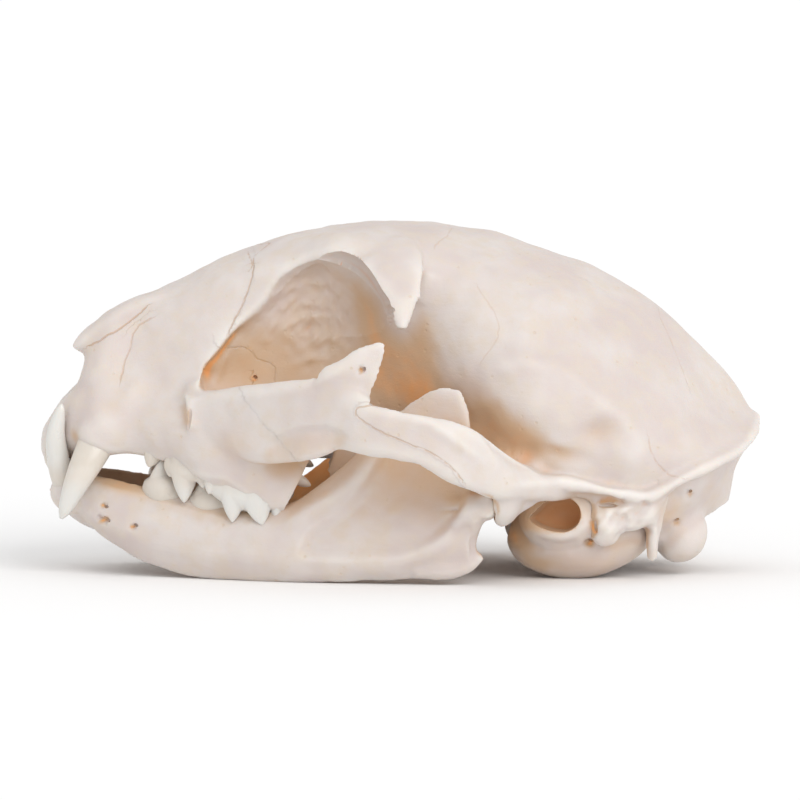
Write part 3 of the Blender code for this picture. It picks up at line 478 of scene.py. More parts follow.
craniumRelief = [
    # the orbit: its rim and the groove behind it, then the ridges and hollows of its wall
    band(0.22, 0.7, (8, 30), (-25.1, 25.4), (-24.2, 27), (-22.4, 29.8), (-20.6, 31.9), (-17.8, 34.8),
        (-15.1, 38.3), (-12.6, 40.2), (-9.3, 40.9), (-5.9, 39.7), (-3.3, 37.4), (-1.9, 35)),
    band(-0.45, 0.5, (6, 20), (-25, 24.9), (-24.6, 26), (-23.4, 27.2), (-21.7, 29.4), (-19.9, 31.5)),
    dot(-0.8, (6, 18), -24.6, 25.2, 0.7, 0.9, 0),
    band(0.2, 0.45, (4, 15), (-23.9, 23.9), (-22.9, 26), (-22.3, 28.3)),
    band(0.16, 0.45, (4, 15), (-16, 29), (-14.9, 31.1), (-13.1, 32.3), (-10.3, 32.8), (-7.7, 32.4),
        (-6.8, 30.8)),
    band(0.16, 0.4, (4, 15), (-12.4, 28.8), (-10.6, 29.8), (-8.5, 29.7), (-7.1, 28.5), (-6.6, 26.7)),
    band(0.14, 0.35, (4, 15), (-13.4, 26), (-12.1, 27.2), (-10, 27.2), (-8.5, 26.7)),
    band(0.13, 0.5, (4, 15), (-17, 34.3), (-14.7, 35.9), (-12.1, 36.8), (-9.3, 36.9), (-7.3, 35.1)),
    band(0.13, 0.35, (4, 15), (-13.1, 34.4), (-11.6, 34.3), (-10, 33.7), (-8.2, 33.9)),
    band(0.12, 0.35, (4, 15), (-15.2, 33.2), (-14.7, 34.4), (-13.4, 35.1)),
    band(0.12, 0.5, (4, 15), (-17.8, 28.9), (-16.5, 30.6), (-16.1, 32.4)),
    band(0.12, 0.3, (4, 15), (-10.6, 32.6), (-10.3, 34.1), (-9.3, 35)),
    band(0.12, 0.3, (4, 15), (-12.1, 29.6), (-12.9, 30.6), (-12.4, 31.6)),
    band(-0.22, 0.5, (4, 15), (-13.1, 30.5), (-11.3, 31.1), (-9.5, 31.2), (-8, 30.8)),
    dot(-0.25, (4, 15), -10.7, 28.3, 1.2, 0.55, 25),
    dot(-0.22, (4, 15), -11.7, 26.1, 0.9, 0.5, 35),
    dot(-0.22, (4, 15), -9.3, 26.2, 0.7, 0.5, 35),
    dot(-0.2, (4, 15), -14.2, 33.7, 0.6, 0.7, 0),
    band(-0.16, 0.35, (4, 15), (-12.4, 33.5), (-10.8, 33.2), (-9, 33.2)),
    dot(-0.15, (4, 15), -10, 35.9, 1.6, 0.8, 0),
    dot(0.16, (4, 15), -11.3, 31.9, 5.2, 4.4, 0, grain=1.1),
    dot(-0.15, (4, 15), -20.3, 25.7, 2.2, 1.6, 0),
    dot(-0.5, (4, 15), -18.8, 24.5, 0.3, 0.25, 0),
    # the muzzle: swelling over the canine's root, hollow in front of the cheek, rim of the canal
    band(0.35, 2.2, (3, 14), (-39.1, 16.7), (-37.1, 19.3), (-34.5, 22.4), (-32.2, 25.4)),
    band(-0.3, 2.6, (5, 16), (-28.6, 19.3), (-29.3, 21.8), (-29.9, 25.7), (-29.3, 29.6)),
    band(0.5, 0.9, (10, 22), (-27, 22.9), (-27.4, 21.2), (-26.9, 19.3), (-26.8, 17.7)),
    band(-0.8, 0.3, (8, 22), (-27.9, 22.6), (-27.5, 21.1), (-27.3, 19.5), (-27.4, 17.7), shelf=1.6),
    band(-0.25, 0.9, (3, 12), (-32.2, 32.4), (-34.5, 30.1), (-35.5, 26.7), (-36.3, 23.9)),
    band(0.2, 0.5, (5, 22), (-40.7, 17.2), (-37.1, 15.4), (-33.5, 15), (-30.5, 14), (-28.3, 13.1),
        (-25.1, 12.1), (-22.5, 11.8), (-19.7, 10), (-17.2, 7.9)),
    # the cheek bone: the muscle's scar under the arch and the arch's edges
    band(-0.45, 0.5, (14, 40), (-17.8, 15.4), (-16, 17.1), (-13.3, 18.2), (-9.7, 18.4), (-6.2, 17.2),
        shelf=3.2),
    band(0.22, 0.8, (16, 40), (-25.5, 22.4), (-21.2, 22.2), (-16.1, 22.9), (-12.2, 23.8), (-8.4, 25.4),
        (-5.1, 27.4)),
    band(0.25, 0.7, (18, 40), (-5.1, 20.3), (-0.6, 20.3), (3.9, 19), (7.7, 16.2), (11.6, 13.3)),
    band(0.2, 0.9, (18, 40), (-7.1, 15.9), (-2.6, 15.4), (1.9, 14.4), (5.8, 12.6)),
    band(-0.25, 1.4, (18, 40), (-1.9, 18.6), (1.9, 17.7), (5.8, 15.9), (9, 13.9)),
    dot(-0.7, (20, 40), -5, 25.7, 0.28, 0.4, 20),
    # the braincase: the edge above the temple, the soft ridge over the ear and the hollows under it
    band(0.35, 1.3, (6, 25), (4.1, 38.8), (3.1, 36.8), (2.3, 33.9)),
    band(0.3, 1.4, (8, 30), (9, 23.9), (11.6, 25.7), (15.4, 26.6), (19.3, 26.1), (22.9, 24.2),
        (26.2, 21.3), (29.9, 17.5), (32.4, 13.3)),
    band(0.16, 1.0, (8, 30), (10, 36), (11.6, 33.4), (12.9, 30.8), (12.5, 28.8)),
    dot(0.7, (8, 30), 17.4, 21.2, 4.6, 3.4, -20),
    dot(-0.95, (8, 30), 25.5, 17.7, 2.6, 1.6, 20),
    dot(-0.75, (8, 30), 21.4, 14.6, 3.0, 1.2, -10),
    dot(0.6, (8, 30), 29.3, 14.8, 2.6, 2.2, 0),
    dot(0.4, (8, 30), 20.6, 34.7, 6, 3, 20),
    dot(-0.35, (8, 30), 12.9, 32.1, 2, 5, 20),
    dot(-0.35, (8, 30), 35.5, 16.7, 1.0, 1.6, 0),
    band(-0.5, 2.0, (8, 30), (9, 20.6), (11.6, 17.2), (14.8, 15.1), (18, 13.9)),
    # round the ear: slits, knob and the rough lower edge
    band(0.35, 0.7, (10, 30), (13.5, 10.8), (16.7, 11), (20.6, 11.3), (24.4, 10.8), (28.3, 9.7),
        (31.9, 9.7)),
    band(-0.4, 0.5, (8, 30), (25.2, 8.6), (26.8, 9), (28.3, 8.6), (29.1, 8.3)),
    band(-0.4, 0.5, (8, 30), (24.4, 6.7), (24.7, 5.6), (25.2, 4.3)),
    dot(0.4, (8, 30), 26.4, 5.1, 1.3, 1.5, 20),
    band(0.25, 0.45, (8, 30), (26.2, 6.8), (27.5, 7.6), (29.1, 7.8), (30.4, 8.3)),
    band(-0.6, 0.7, (8, 30), (29.6, 6.7), (30.9, 7.4), (31.9, 9)),
    dot(0.35, (8, 30), 29.3, 5.1, 1.6, 0.8, -10),
    dot(0.15, (10, 30), 28.1, 5.9, 4.4, 2.8, 0, grain=1.4),
    band(-0.4, 0.8, (3, 30), (34, 3.8), (33.6, 6.4), (34.7, 9), (36.5, 10.3)),
    dot(-0.5, (3, 30), 37.3, 9.7, 0.4, 0.5, 0),
    dot(-0.5, (3, 30), 35.6, 6, 0.5, 0.35, 0),
]

jawRelief = [
    # the muscle's hollow on the branch, the ridge before it and the sill under it
    basin(-0.95, 1.7, (12, 40), (-1.8, 16.7), (8.7, 15.4), (9, 9), (7.2, 5.6), (4.1, 2.9), (0.6, 1.5),
        (-3.9, 1.1), (-9, 0.9), (-13.4, 1.8), (-12.6, 4.6), (-8, 7.9), (-4.4, 12.3)),
    band(0.35, 1.0, (12, 40), (-1.9, 15.7), (-3.6, 14.4), (-6.2, 11.3), (-9.5, 8.7), (-12.9, 6.8),
        (-15.7, 5)),
    band(0.25, 1.1, (12, 40), (-7.7, 0.5), (-4.5, 0.4), (-1, 0.6), (2.6, 1.6), (5.9, 3.6), (8.2, 6.4),
        (9.4, 9)),
    band(-0.35, 1.6, (5, 30), (-37.3, 10.3), (-33.5, 9), (-28.3, 7.4), (-21.9, 5.1), (-16.7, 3.8)),
    band(0.15, 1.2, (5, 30), (-32.2, 3.2), (-25.7, 1.8), (-18, 1.3), (-11.6, 1.3)),
    dot(-0.25, (12, 40), 6.2, 7.6, 1.0, 0.2, 0),
    dot(-0.5, (4, 20), -38.2, 8.3, 0.35, 0.25, 0),
    band(-0.6, 0.3, (4, 20), (-39.1, 6.9), (-38.2, 6.4), (-37.6, 5.9)),
    dot(-0.6, (4, 20), -34.4, 5.5, 0.35, 0.3, 0),
    band(0.18, 0.5, (4, 30), (-39.9, 11.5), (-37.1, 10.5), (-33.5, 9.7), (-30.9, 8.7), (-25.7, 7.4),
        (-20.6, 6.1)),
]

bullaRelief = [
    # the lip round the ear opening, folds behind it
    band(0.4, 0.8, (12, 30), (15.4, 6.7), (16.7, 5.5), (18.7, 4.6), (20.6, 4.3), (22.4, 4.7),
        (23.7, 5.9), (23.9, 7.7)),
    band(0.25, 0.6, (12, 30), (16, 7.4), (17.5, 9), (19.3, 10), (21.4, 10.1), (23.4, 9.2)),
    band(-0.25, 0.6, (10, 30), (17.1, 4.2), (19, 3.4), (21.2, 3.2), (23.2, 3.8)),
    band(0.15, 0.6, (10, 30), (18, 2.7), (20.1, 2.2), (22.4, 2.3)),
    dot(-0.8, (8, 30), 24.4, 3.4, 0.6, 0.5, 0),
    band(-0.3, 0.6, (8, 30), (25.2, 3.1), (27, 2.7), (29.1, 3.6), (31.1, 4)),
]

sutures = [
    # sutures drawn on the bone
    seam(0.8, (3, 16), (-19.7, 41.1), (-19.3, 40.1), (-18.8, 39.1), (-19.2, 37.3), (-19.8, 35.1),
        (-20.6, 33.4), (-21.4, 31.9), (-22.1, 30.3)),
    seam(1.0, (1, 12), (-32.6, 33.8), (-34.1, 32.5), (-36, 31.1), (-38, 29.9), (-39.9, 28.8)),
    seam(0.7, (1, 14), (-31.9, 32.4), (-33.5, 31.5), (-34.4, 30.2), (-34.7, 28.5), (-35.4, 26.7),
        (-35.9, 24.4)),
    seam(0.5, (4, 16), (-22.1, 28.5), (-20.3, 28.7), (-18.9, 28), (-18.4, 27.1), (-16.9, 26.6),
        (-16.1, 26), (-16.2, 23.6)),
    seam(0.8, (20, 40), (-3.6, 21.2), (-5.7, 20.8), (-5.7, 19.8), (-3.6, 18.4), (-1.3, 17.2),
        (1.3, 16.2), (3.9, 15.1), (6.4, 13.5), (8, 11.5)),
    seam(0.5, (8, 30), (31.9, 17.2), (32.3, 15.1), (33.1, 13.6), (34.5, 12.3), (36.3, 11.8)),
    seam(0.3, (8, 30), (10, 36.3), (11.1, 34.7), (12.1, 33.2), (12.7, 31.5), (12.6, 29.8), (11.6, 28.3),
        (10.3, 26.7)),
    seam(0.9, (0, 12), (-19.5, -2), (-17.6, 2), (-16.6, 4), (-18.6, 6.6), (-18.8, 9), plane="top"),
    seam(0.5, (0, 6), (-17, 0.1), (-12, 0.2), (-6, 0), (1, 0.1), (6, 0), plane="top"),
    seam(0.35, (0, 14), (6, 0), (6.6, 4), (6, 8), (4.4, 12), plane="top"),
    seam(0.5, (0, 6), (6, 0), (12, 0.2), (20, 0), (28, 0.1), (33, 0), plane="top"),
    seam(0.35, (0, 12), (33, 0), (33.4, 4), (35.4, 8), (36.6, 10), plane="top"),
    seam(0.8, (0, 6), (-39, 0), (-33, 0.1), (-26, 0), (-19.5, 0.1), plane="top"),
]

# painted shade and painted light, as strokes that the bone material reads
shadeAndGlowStrokes = [
    # painted shade: tan in the hollows of the orbit, temple, branch of the jaw, cheek, ear and back
    basin(0.3, 3.5, (3, 18), (-25.3, 25.4), (-22.1, 30.1), (-17.8, 34.7), (-14.8, 38.8), (-12.2, 40.9),
        (-7.1, 40.9), (-2.3, 36.6), (-0.3, 30.8), (-2.6, 21.8), (-16.1, 22.4), (-25.3, 22.4)),
    basin(0.75, 4.0, (6, 20), (-6.4, 37.9), (-1.3, 34.7), (0, 31.5), (2.6, 35.2), (4.9, 33.4),
        (5.9, 28.9), (7.2, 23.8), (10, 20.6), (9, 16.7), (0, 19.3), (-4.5, 21.2), (-6.2, 28.3)),
    dot(0.35, (8, 24), 10.8, 18.2, 3.6, 3.0, 0),
    basin(0.16, 2.5, (12, 40), (-1.8, 16.7), (8.7, 15.4), (9, 9), (7.2, 5.6), (4.1, 2.9), (0.6, 1.5),
        (-3.9, 1.1), (-8.7, 1.4), (-11.3, 2.8), (-10, 6.4), (-6.4, 9.5), (-3.9, 12.8)),
    basin(0.35, 1.6, (12, 40), (-18.3, 15.1), (-16, 17.3), (-13.3, 18.5), (-9.7, 18.6), (-6.2, 17.5),
        (-7.1, 14.4), (-11.6, 13.9), (-13.4, 11.5), (-17, 11)),
    dot(0.35, (9, 40), -21.6, 15.9, 3.4, 2.8, 0),
    dot(0.22, (3, 16), -36.3, 21.6, 4.0, 2.4, 30),
    dot(0.2, (3, 20), -29.6, 19.3, 1.6, 4.0, 0),
    dot(0.5, (3, 14), -35.8, 11, 3.6, 1.3, -8),
    band(0.35, 1.0, (3, 30), (-40.7, 12.8), (-38.1, 11.3), (-33.5, 9.7), (-27, 7.4), (-19.3, 5.5)),
    dot(0.45, (8, 24), 25.5, 17.7, 2.6, 1.7, 20),
    dot(0.4, (8, 24), 21.4, 14.6, 2.8, 1.3, -10),
    dot(0.25, (8, 24), 35.5, 16.4, 0.9, 1.8, 0),
    dot(0.3, (8, 24), 15.2, 16.7, 2.4, 2.0, 0),
    dot(0.3, (3, 22), 21.2, 0.5, 8.5, 1.7, 0),
    band(0.35, 1.1, (3, 22), (13.9, 5.9), (14.9, 3.6), (16.7, 1.5), (19.6, -0.3)),
    dot(0.5, (3, 20), 34.7, 7.4, 1.8, 2.6, -20),
    dot(0.3, (3, 20), 36.3, 1.5, 2.8, 1.3, 0),
    dot(0.25, (0, 20), 40.1, 10, 1.4, 3.4, 0),
    band(0.3, 0.7, (8, 24), (25.7, 3.2), (27.7, 3.1), (29.6, 3.7), (31.4, 3.8)),
    # painted light: an amber glow on the far jaw's inner side, for the light that soaks through it
    basin(1.0, 3.0, (8, 20), (-19.3, 6.4), (-17.8, 14.1), (-12.9, 19.3), (-3.6, 21.8), (2.6, 18),
        (1.3, 6.4), (-7.7, 3.8), inner=1),
    # painted shade: amber at the openings of vessels and along the deep edges; the strongest of them also
    # glow
    band(0.9, 0.35, (5, 20), (-25.3, 25.2), (-24.6, 26.2), (-23.4, 27.4), (-21.9, 29.6), (-20.6, 31.1)),
    dot(0.9, (5, 18), -24.8, 25.2, 0.5, 0.8, 0),
    dot(1.0, (3, 18), -18.8, 24.5, 0.35, 0.25, -30),
    dot(1.6, (20, 40), -5, 25.7, 0.26, 0.36, 20, deep=1),
    band(0.4, 0.6, (9, 24), (-28.1, 21.6), (-27.7, 19.9), (-27.5, 18.2)),
    band(1.1, 0.3, (8, 30), (25.3, 8.6), (26.8, 9), (28.3, 8.7)),
    band(1.1, 0.3, (8, 30), (24.6, 6.5), (24.8, 5.5), (25.3, 4.5)),
    dot(1.2, (6, 30), 24.4, 3.4, 0.5, 0.35, 0),
    dot(0.8, (3, 30), 35.6, 6, 0.4, 0.3, 0),
    dot(0.9, (3, 30), 37.3, 9.7, 0.25, 0.35, 0),
    dot(1.7, (8, 20), -38.2, 8.3, 0.3, 0.26, 0, deep=1),
    dot(1.7, (8, 20), -38.1, 6.4, 0.65, 0.3, 30, deep=1),
    dot(1.7, (9, 20), -34.4, 5.5, 0.32, 0.28, 10, deep=1),
    band(0.3, 0.5, (9, 24), (-27.4, 21.3), (-27.3, 19.9), (-27.3, 18.5)),
    band(0.8, 0.25, (14, 30), (8.7, 9.9), (10.3, 10.1), (11.6, 9.5), (12.5, 8.5), (12.7, 7.6),
        (12.5, 6.4)),
    dot(0.7, (3, 14), -41.8, 17.2, 0.5, 1.0, 20),
]

# pits of x and z seen from the side, half width, half height and tilt
craniumPits = [
    (-5, 25.7, 0.22, 0.32, 10),
    (-18.8, 24.5, 0.3, 0.25, 30),
    (26.8, 8.7, 1.2, 0.3, 0),
    (24.8, 5.5, 0.28, 0.8, -10),
    (35.6, 6, 0.45, 0.3, 30),
    (37.3, 9.7, 0.22, 0.36, 0),
    (-27.5, 19.8, 0.4, 1.75, 6),
]
jawPits = [
    (-38.2, 8.3, 0.3, 0.22, 0),
    (-38.1, 6.4, 0.65, 0.28, 30),
    (-34.4, 5.5, 0.35, 0.26, 10),
]
bullaPits = [
    (24.4, 3.4, 0.4, 0.3, 0),
]


# The upper skull

cranium = {
    "stations": [(-46.1, -38, 34), (-37.7, 43, 190), (43.3, 45.4, 10)],  # from, to, count along X
    "around": 150,
    "broadVoxel": 0.42,
    "broadRounds": 10,
    "fineVoxel": 0.388,
    "fineRounds": 3,
    "waves": [(9, 0.12, 3), (3.2, 0.035, 8)],  # length, rise and seed of the surface's unevenness
    # five rails on each side carry the skin; rows of x, half breadth, height
    "rails": {
        "crown": [
            (-46.1, 0, 18.2), (-45, 0, 19.8), (-43.2, 0, 22.2), (-41.4, 0, 25), (-40.4, 0, 28.6),
            (-39.2, 0, 31.4), (-36, 0, 33.6), (-31.9, 0, 35.7), (-27.7, 0, 37.9), (-22, 0, 40.5),
            (-16, 0, 42.7),
            (-8, 0, 44.3), (1, 0, 44.9), (9, 0, 44.1), (18, 0, 41.6), (26, 0, 38.5), (30, 0, 36.3),
            (36.4, 0, 31.2), (40.1, 0, 27.4), (43.5, 0, 23.6), (45.4, 0, 20.6),
        ],
        "brow": [
            (-46.1, 2.4, 17.6), (-45, 4.4, 19.6), (-43.7, 5.2, 21.6), (-42.4, 5.8, 22.8),
            (-41, 6.3, 24.8),
            (-40.2, 6.4, 27.4), (-38.6, 6.1, 30.4), (-34, 6, 32.8), (-29, 6.8, 34.8),
            (-22, 9, 37.6), (-17, 10.2, 39.2),
            (-12, 11.8, 41), (-8, 14.4, 41.7), (-4, 15.8, 40.8), (1, 14.8, 40.2), (8, 14.2, 39.4),
            (16, 14.6, 36.8), (24, 13.6, 33.6), (32, 11, 28.9), (40, 6.5, 22.9), (45.4, 1.6, 19.8),
        ],
        "wall": [
            (-46.1, 3.4, 17), (-43.4, 6.2, 20.8), (-39, 9, 25), (-34, 9.2, 26), (-29, 10.8, 27.4),
            (-25, 12, 29), (-21.5, 11.8, 30.6), (-18, 10.4, 31.6), (-12, 9.6, 32), (-8, 9.8, 32),
            (-4, 11, 31.5), (0, 13.2, 31), (4, 16, 30), (8, 18.6, 28.4), (12, 20.6, 27),
            (18, 21.7, 25), (24, 21.2, 23), (31, 18.8, 17.6), (36, 17, 14.4), (40, 13.8, 15),
            (43, 9.6, 17), (45.4, 4, 18.8),
        ],
        "flank": [
            (-46.1, 2.8, 15.4), (-43.4, 6.4, 17), (-41.6, 8.6, 17.6), (-39, 11.6, 18.2),
            (-34, 10.8, 18.4), (-29, 12.6, 19), (-25, 13, 19.5), (-21, 11, 19.8), (-12, 8.9, 20),
            (-4, 8.6, 18.4), (2, 11.4, 17), (8, 15.4, 14.8), (14, 18, 12.8), (20, 18.9, 11.6),
            (28, 17.8, 9.6), (33, 15.6, 8.6), (37, 11.6, 9), (41, 8, 12.4), (45.4, 2.6, 17.6),
        ],
        "base": [
            (-46.1, 0, 14.4), (-42.4, 0, 14.4), (-34, 0, 15.4), (-22, 0, 15.2), (-10, 0, 14.2),
            (-2, 0, 12.6), (6, 0, 10.4), (14, 0, 8.4), (22, 0, 6), (30, 0, 3.4), (34.4, 0, 2.6),
            (38, 0, 4), (41, 0, 6.6), (42.4, 0, 9), (43, 0, 12.4), (45.2, 0, 17),
        ],
    },
    # rows of x, half breadth, mid height, half height, half thickness
    "maxilla": [
        (-37, 9, 18.6, 3, 3), (-33, 9.4, 19, 3.4, 2.6), (-29, 11.6, 18.8, 4.2, 2.8),
        (-25, 14.2, 18.6, 5.4, 3.4), (-21, 16.2, 17.4, 6.6, 3.2), (-18, 17.2, 15.6, 6.2, 2.6),
        (-15.4, 17.6, 14, 5.4, 2.1), (-13, 17.6, 13.4, 4.4, 1.6), (-11, 17.4, 13.4, 2.4, 0.9),
    ],
    # rows of x, half breadth, low edge, high edge, half thickness
    "arch": [
        (-25, 14.2, 17, 24, 3), (-21.5, 17.2, 16, 24.6, 2.8), (-18, 20.2, 15.4, 25.2, 2.3),
        (-15, 22.9, 15.3, 25.8, 1.9), (-12, 25.3, 16, 26.2, 1.7), (-8, 28, 17.2, 26.4, 1.5),
        (-3.7, 30.3, 17, 23.6, 1.3), (0, 31.5, 16.7, 22.4, 1.2), (4, 31.9, 15.6, 22.1, 1.3),
        (8, 31, 13.1, 20.2, 1.5), (11.5, 28.6, 11.5, 17.8, 1.9), (14.5, 25, 10.9, 15.6, 2.3),
        (17.5, 21.4, 10.6, 14.2, 2.5), (20.5, 17.6, 10.6, 13.6, 2.4),
    ],
    # centre, radii, tilt
    "softMasses": {
        "cheek": ((-23.4, -12, 21), (5, 4.8, 5.6), 0),
        "canineRoot": ((-35, -8.2, 21), (2.8, 2.9, 6.4), 34),
        "canineSocket": ((-38.1, -9.2, 18.2), (3.1, 2.8, 3), 34),
        "glenoid": ((13, -20.6, 14), (4.8, 6.6, 2.1), 0),
        "mastoid": ((25.8, -17.5, 7.8), (2.3, 2.5, 3.3), 0),
        "mastoidRidge": ((29.2, -17.1, 9.2), (4, 2.4, 2.6), 0),
        "condyle": ((36.1, -7.5, 4.9), (3.1, 3.9, 3.8), 35),
    },
    # knots of sweeps: x, y, z, half size along the up direction, half size across it
    "browProcess": [
        (-5, -7, 42.2, 1, 2), (-4, -11, 41.9, 1.3, 4.8), (-1.8, -14.6, 40.7, 1.6, 4.8),
        (-0.6, -17.8, 38.6, 1.4, 3.4), (0, -20.4, 36, 1.1, 2.4), (0.2, -21.9, 34.2, 0.9, 1.5),
        (0.2, -23, 32.4, 0.45, 0.6),
    ],
    "nasal": [
        (-30, -3, 35.2, 1.2, 2.6), (-35, -3, 33.2, 1.2, 2.8), (-38.6, -3.4, 31, 1.2, 2.8),
        (-40.6, -3.9, 29.6, 1, 2), (-41.8, -4.2, 28.6, 0.6, 1),
    ],
    "crests": {
        "jugalProcess": {
            "knots": [
                (-9.6, -27, 22.6, 1, 2.4), (-6.9, -28, 24.85, 1.25, 4.1), (-5.3, -28.6, 26.6, 1.15, 3.2),
                (-4.05, -29, 28.35, 0.95, 2.4), (-2.85, -29.2, 29.8, 0.75, 1.6),
                (-2, -29.3, 31.1, 0.45, 0.6),
            ],
            "up": (0, -1, 0),
        },
        "nuchalCrest": {
            "knots": [
                (45.4, 0.8, 19.8, 0.9, 1), (44.8, -5, 18.2, 0.9, 1.1), (42.8, -10.4, 16.2, 0.9, 1.1),
                (39.6, -14.8, 14.8, 0.9, 1.1), (35.6, -17.4, 13.2, 0.9, 1.1),
                (32.2, -18.6, 11.2, 0.9, 1.1),
                (29.4, -19, 10.6, 0.7, 0.9),
            ],
            "power": 1.4,
        },
        "temporalRidge": {
            "knots": [
                (14, -23.4, 13.8, 1, 1.4), (18, -21.6, 13, 0.9, 1.5), (22, -20.4, 12.5, 0.85, 1.5),
                (26, -19.6, 11.7, 0.8, 1.4), (30.5, -18.9, 10.7, 0.8, 1.2),
            ],
        },
        "postglenoid": {
            "knots": [
                (14, -15.6, 11.2, 2, 1.5), (13.9, -18.6, 10.6, 2.9, 1.7), (13.8, -22.4, 10.4, 3.2, 1.7),
                (13.6, -24.8, 10.9, 2.9, 1.6), (13, -27, 12.6, 1.6, 1.3),
            ],
            "up": (0.42, 0, 0.9),
        },
        "earRoot": {
            "knots": [
                (13.6, -22, 9.6, 1.5, 1.6), (15, -21.8, 10.8, 1.6, 2), (16.8, -21.2, 12, 1.5, 2.4),
                (19.4, -20.4, 12.8, 1.2, 2.2),
            ],
        },
        "paracondylar": {
            "knots": [
                (33.2, -16.4, 11.4, 1.2, 2), (32.4, -15.7, 8, 0.9, 1.9), (32, -15, 4.8, 0.8, 1.5),
                (32, -14.5, 2.4, 0.7, 0.9),
            ],
            "up": (1, 0, 0),
        },
        "pterygoid": {
            "knots": [
                (-9, -5.8, 14.4, 2.6, 0.8), (-4, -5.6, 12.4, 3, 0.7), (1, -5.4, 10.8, 2.8, 0.7),
                (5.6, -5.4, 9.2, 1.6, 0.6),
            ],
        },
        "hamulus": {"knots": [(3.4, -5.4, 9.6, 1, 0.7), (6, -5.6, 7.8, 0.6, 0.5)]},
    },
    "orbit": ((-11.4, -19.8, 32), (11.4, 10.8, 9.4), 18),
    "orbitRim": [
        (-25.4, 24.4), (-24.2, 27.6), (-22, 31), (-19.2, 34.4), (-16.4, 37.4), (-13, 39.8), (-9.6, 40.4),
        (-7.4, 37.4), (-7.2, 31), (-9, 25), (-14, 22), (-21, 21.8),
    ],
    "orbitLevels": [
        (-34, 1, 0, 0), (-15, 1, 0, 0), (-12.4, 0.97, 0, 0), (-10.6, 0.9, 0.3, 0), (-9.5, 0.78, 0.6, 0),
        (-8.9, 0.6, 0.8, 0), (-8.7, 0.3, 0.8, 0),
    ],
    # later cuts: the arch of the upper rim, then the worn edges of the cheek bone and the upper jaw
    "underBrow": ((-10.6, -17, 33.6), (10.8, 8.2, 8), 18),
    "browRim": [
        (-19, 32.4), (-16.6, 36), (-14.2, 39.2), (-12.2, 41.1), (-10, 41.8), (-7.4, 41.7), (-5, 40.7),
        (-3.1, 38.8), (-1.75, 36.7), (-1.25, 35.9), (-1, 35.2), (-0.62, 34.9), (-0.56, 34.6),
        (-0.8, 34.3),
        (-0.6, 33.9), (-0.78, 33.6), (-0.55, 33.3), (-0.6, 33), (-0.34, 32.8), (-0.4, 32.5),
        (-0.6, 31.8),
        (-1.4, 31), (-3, 29.6), (-8, 28.6), (-15, 29.6),
    ],
    "browLevels": [(-25.4, 1, 0, 0), (-14.4, 1, 0, 0), (-13.4, 0.97, 0, -0.2), (-12.8, 0.9, 0, -0.4)],
    "cheekEnd": [
        (-1.7, 32.4), (-1.72, 30.9), (-1.85, 30.4), (-1.8, 30), (-1.95, 29.5), (-2.05, 28.8),
        (-2.2, 28.5),
        (-2.25, 28.2), (-2.5, 27.8), (-2.55, 27.4), (-2.85, 27), (-2.9, 26.6), (-3.2, 26), (-3.25, 25.7),
        (-3.6, 25.2), (-3.65, 24.8), (-3.8, 24.3), (-3.7, 23.9), (-3.85, 23.5), (-2.8, 23.2), (0, 24.6),
        (2.5, 27), (2, 32),
    ],
    "foramenArch": ((42, 0, 6.6), (8, 4.9, 2.4), 0),
    "cheekEndLevels": [(-34, 1, 0, 0), (-24, 1, 0, 0)],
    "jawEnd": [
        (-15.5, 6), (-14.9, 8.6), (-13.8, 11), (-12.6, 13.2), (-11, 15.6), (-8, 16.6), (-4, 15), (-4, 6),
    ],
    "jawEndLevels": [(-24, 1, 0, 0), (-14, 1, 0, 0)],
    "palate": ((-26, 0, 12.6), (17, 8.6, 3.4), 0),
    "noseHole": [
        (-52, 0, 20.5, 4.4, 5), (-45, 0, 23.6, 4.6, 5.2), (-38, 0, 25.8, 4.4, 5), (-31, 0, 27.4, 2.4, 3),
    ],
    "choana": [
        (-9.4, 0, 12.6, 1.6, 3), (-5, 0, 11.8, 3.4, 4.4), (1, 0, 9.8, 3.4, 4.4), (9, 0, 6.4, 2.6, 3.6),
    ],
    "foramenMagnum": [
        (44, 0, -1.6, 4.9, 6.3), (38, 0, 4.4, 4.9, 6.3), (33, 0, 9.4, 4.2, 5.4), (29.5, 0, 12.9, 2, 2.6),
    ],
    # blades of points of x and z that part the bones along their sutures
    "seamWidth": 0.006,
    "cheekFront": [(-24, 31), (-18.4, 22), (-13.4, 16.4), (-11, 12)],
    "cheekRear": [
        (0, 27), (-3, 23.9), (-5.6, 23.2), (-5.8, 22.4), (-3.5, 20.6), (-1.2, 19.4), (1.2, 18.4),
        (3.6, 17.4), (6, 15.8), (7.4, 13.9), (8.6, 12), (10, 8),
    ],
    "faceSeam": [
        (-19.4, 52), (-19.2, 43), (-18.6, 40), (-18.8, 37.6), (-20, 34.5), (-21.2, 32.2), (-22, 29.6),
        (-20.2, 29.2), (-18.7, 28.6), (-18, 27.6), (-16.8, 27.2), (-15.9, 26.5), (-15.8, 24.2),
        (-12, 20),
        (-9.6, 16), (-9.6, 4),
    ],
}

bullaForm = {
    "shell": ((23.2, -10.9, 6.1), (9.6, 6.5, 6.2), -10),
    "collar": ((20.9, -15.4, 8.3), (5.9, 3.9, 4.7), 0),
    "earRim": [
        (16.3, 8), (17.2, 9.2), (18.6, 10.4), (20.1, 10.9), (21.6, 10.6), (22.6, 9.6), (22.8, 8.4),
        (22.2, 7.2), (21, 6.5), (19.6, 6.5), (18, 6.9), (16.8, 7.5),
    ],
    # y, size, and how far the middle moves along x and z
    "earLevels": [(-30, 1.1, 0, 0), (-18, 1, 0, 0), (-16.4, 0.96, 0.3, 0), (-15, 0.86, 0.6, -0.2),
    (-14.4, 0.5, 0.8, -0.3)],
    "waves": [(5, 0.08, 4)],
    "voxel": 0.26,
    "rounds": 9,
}


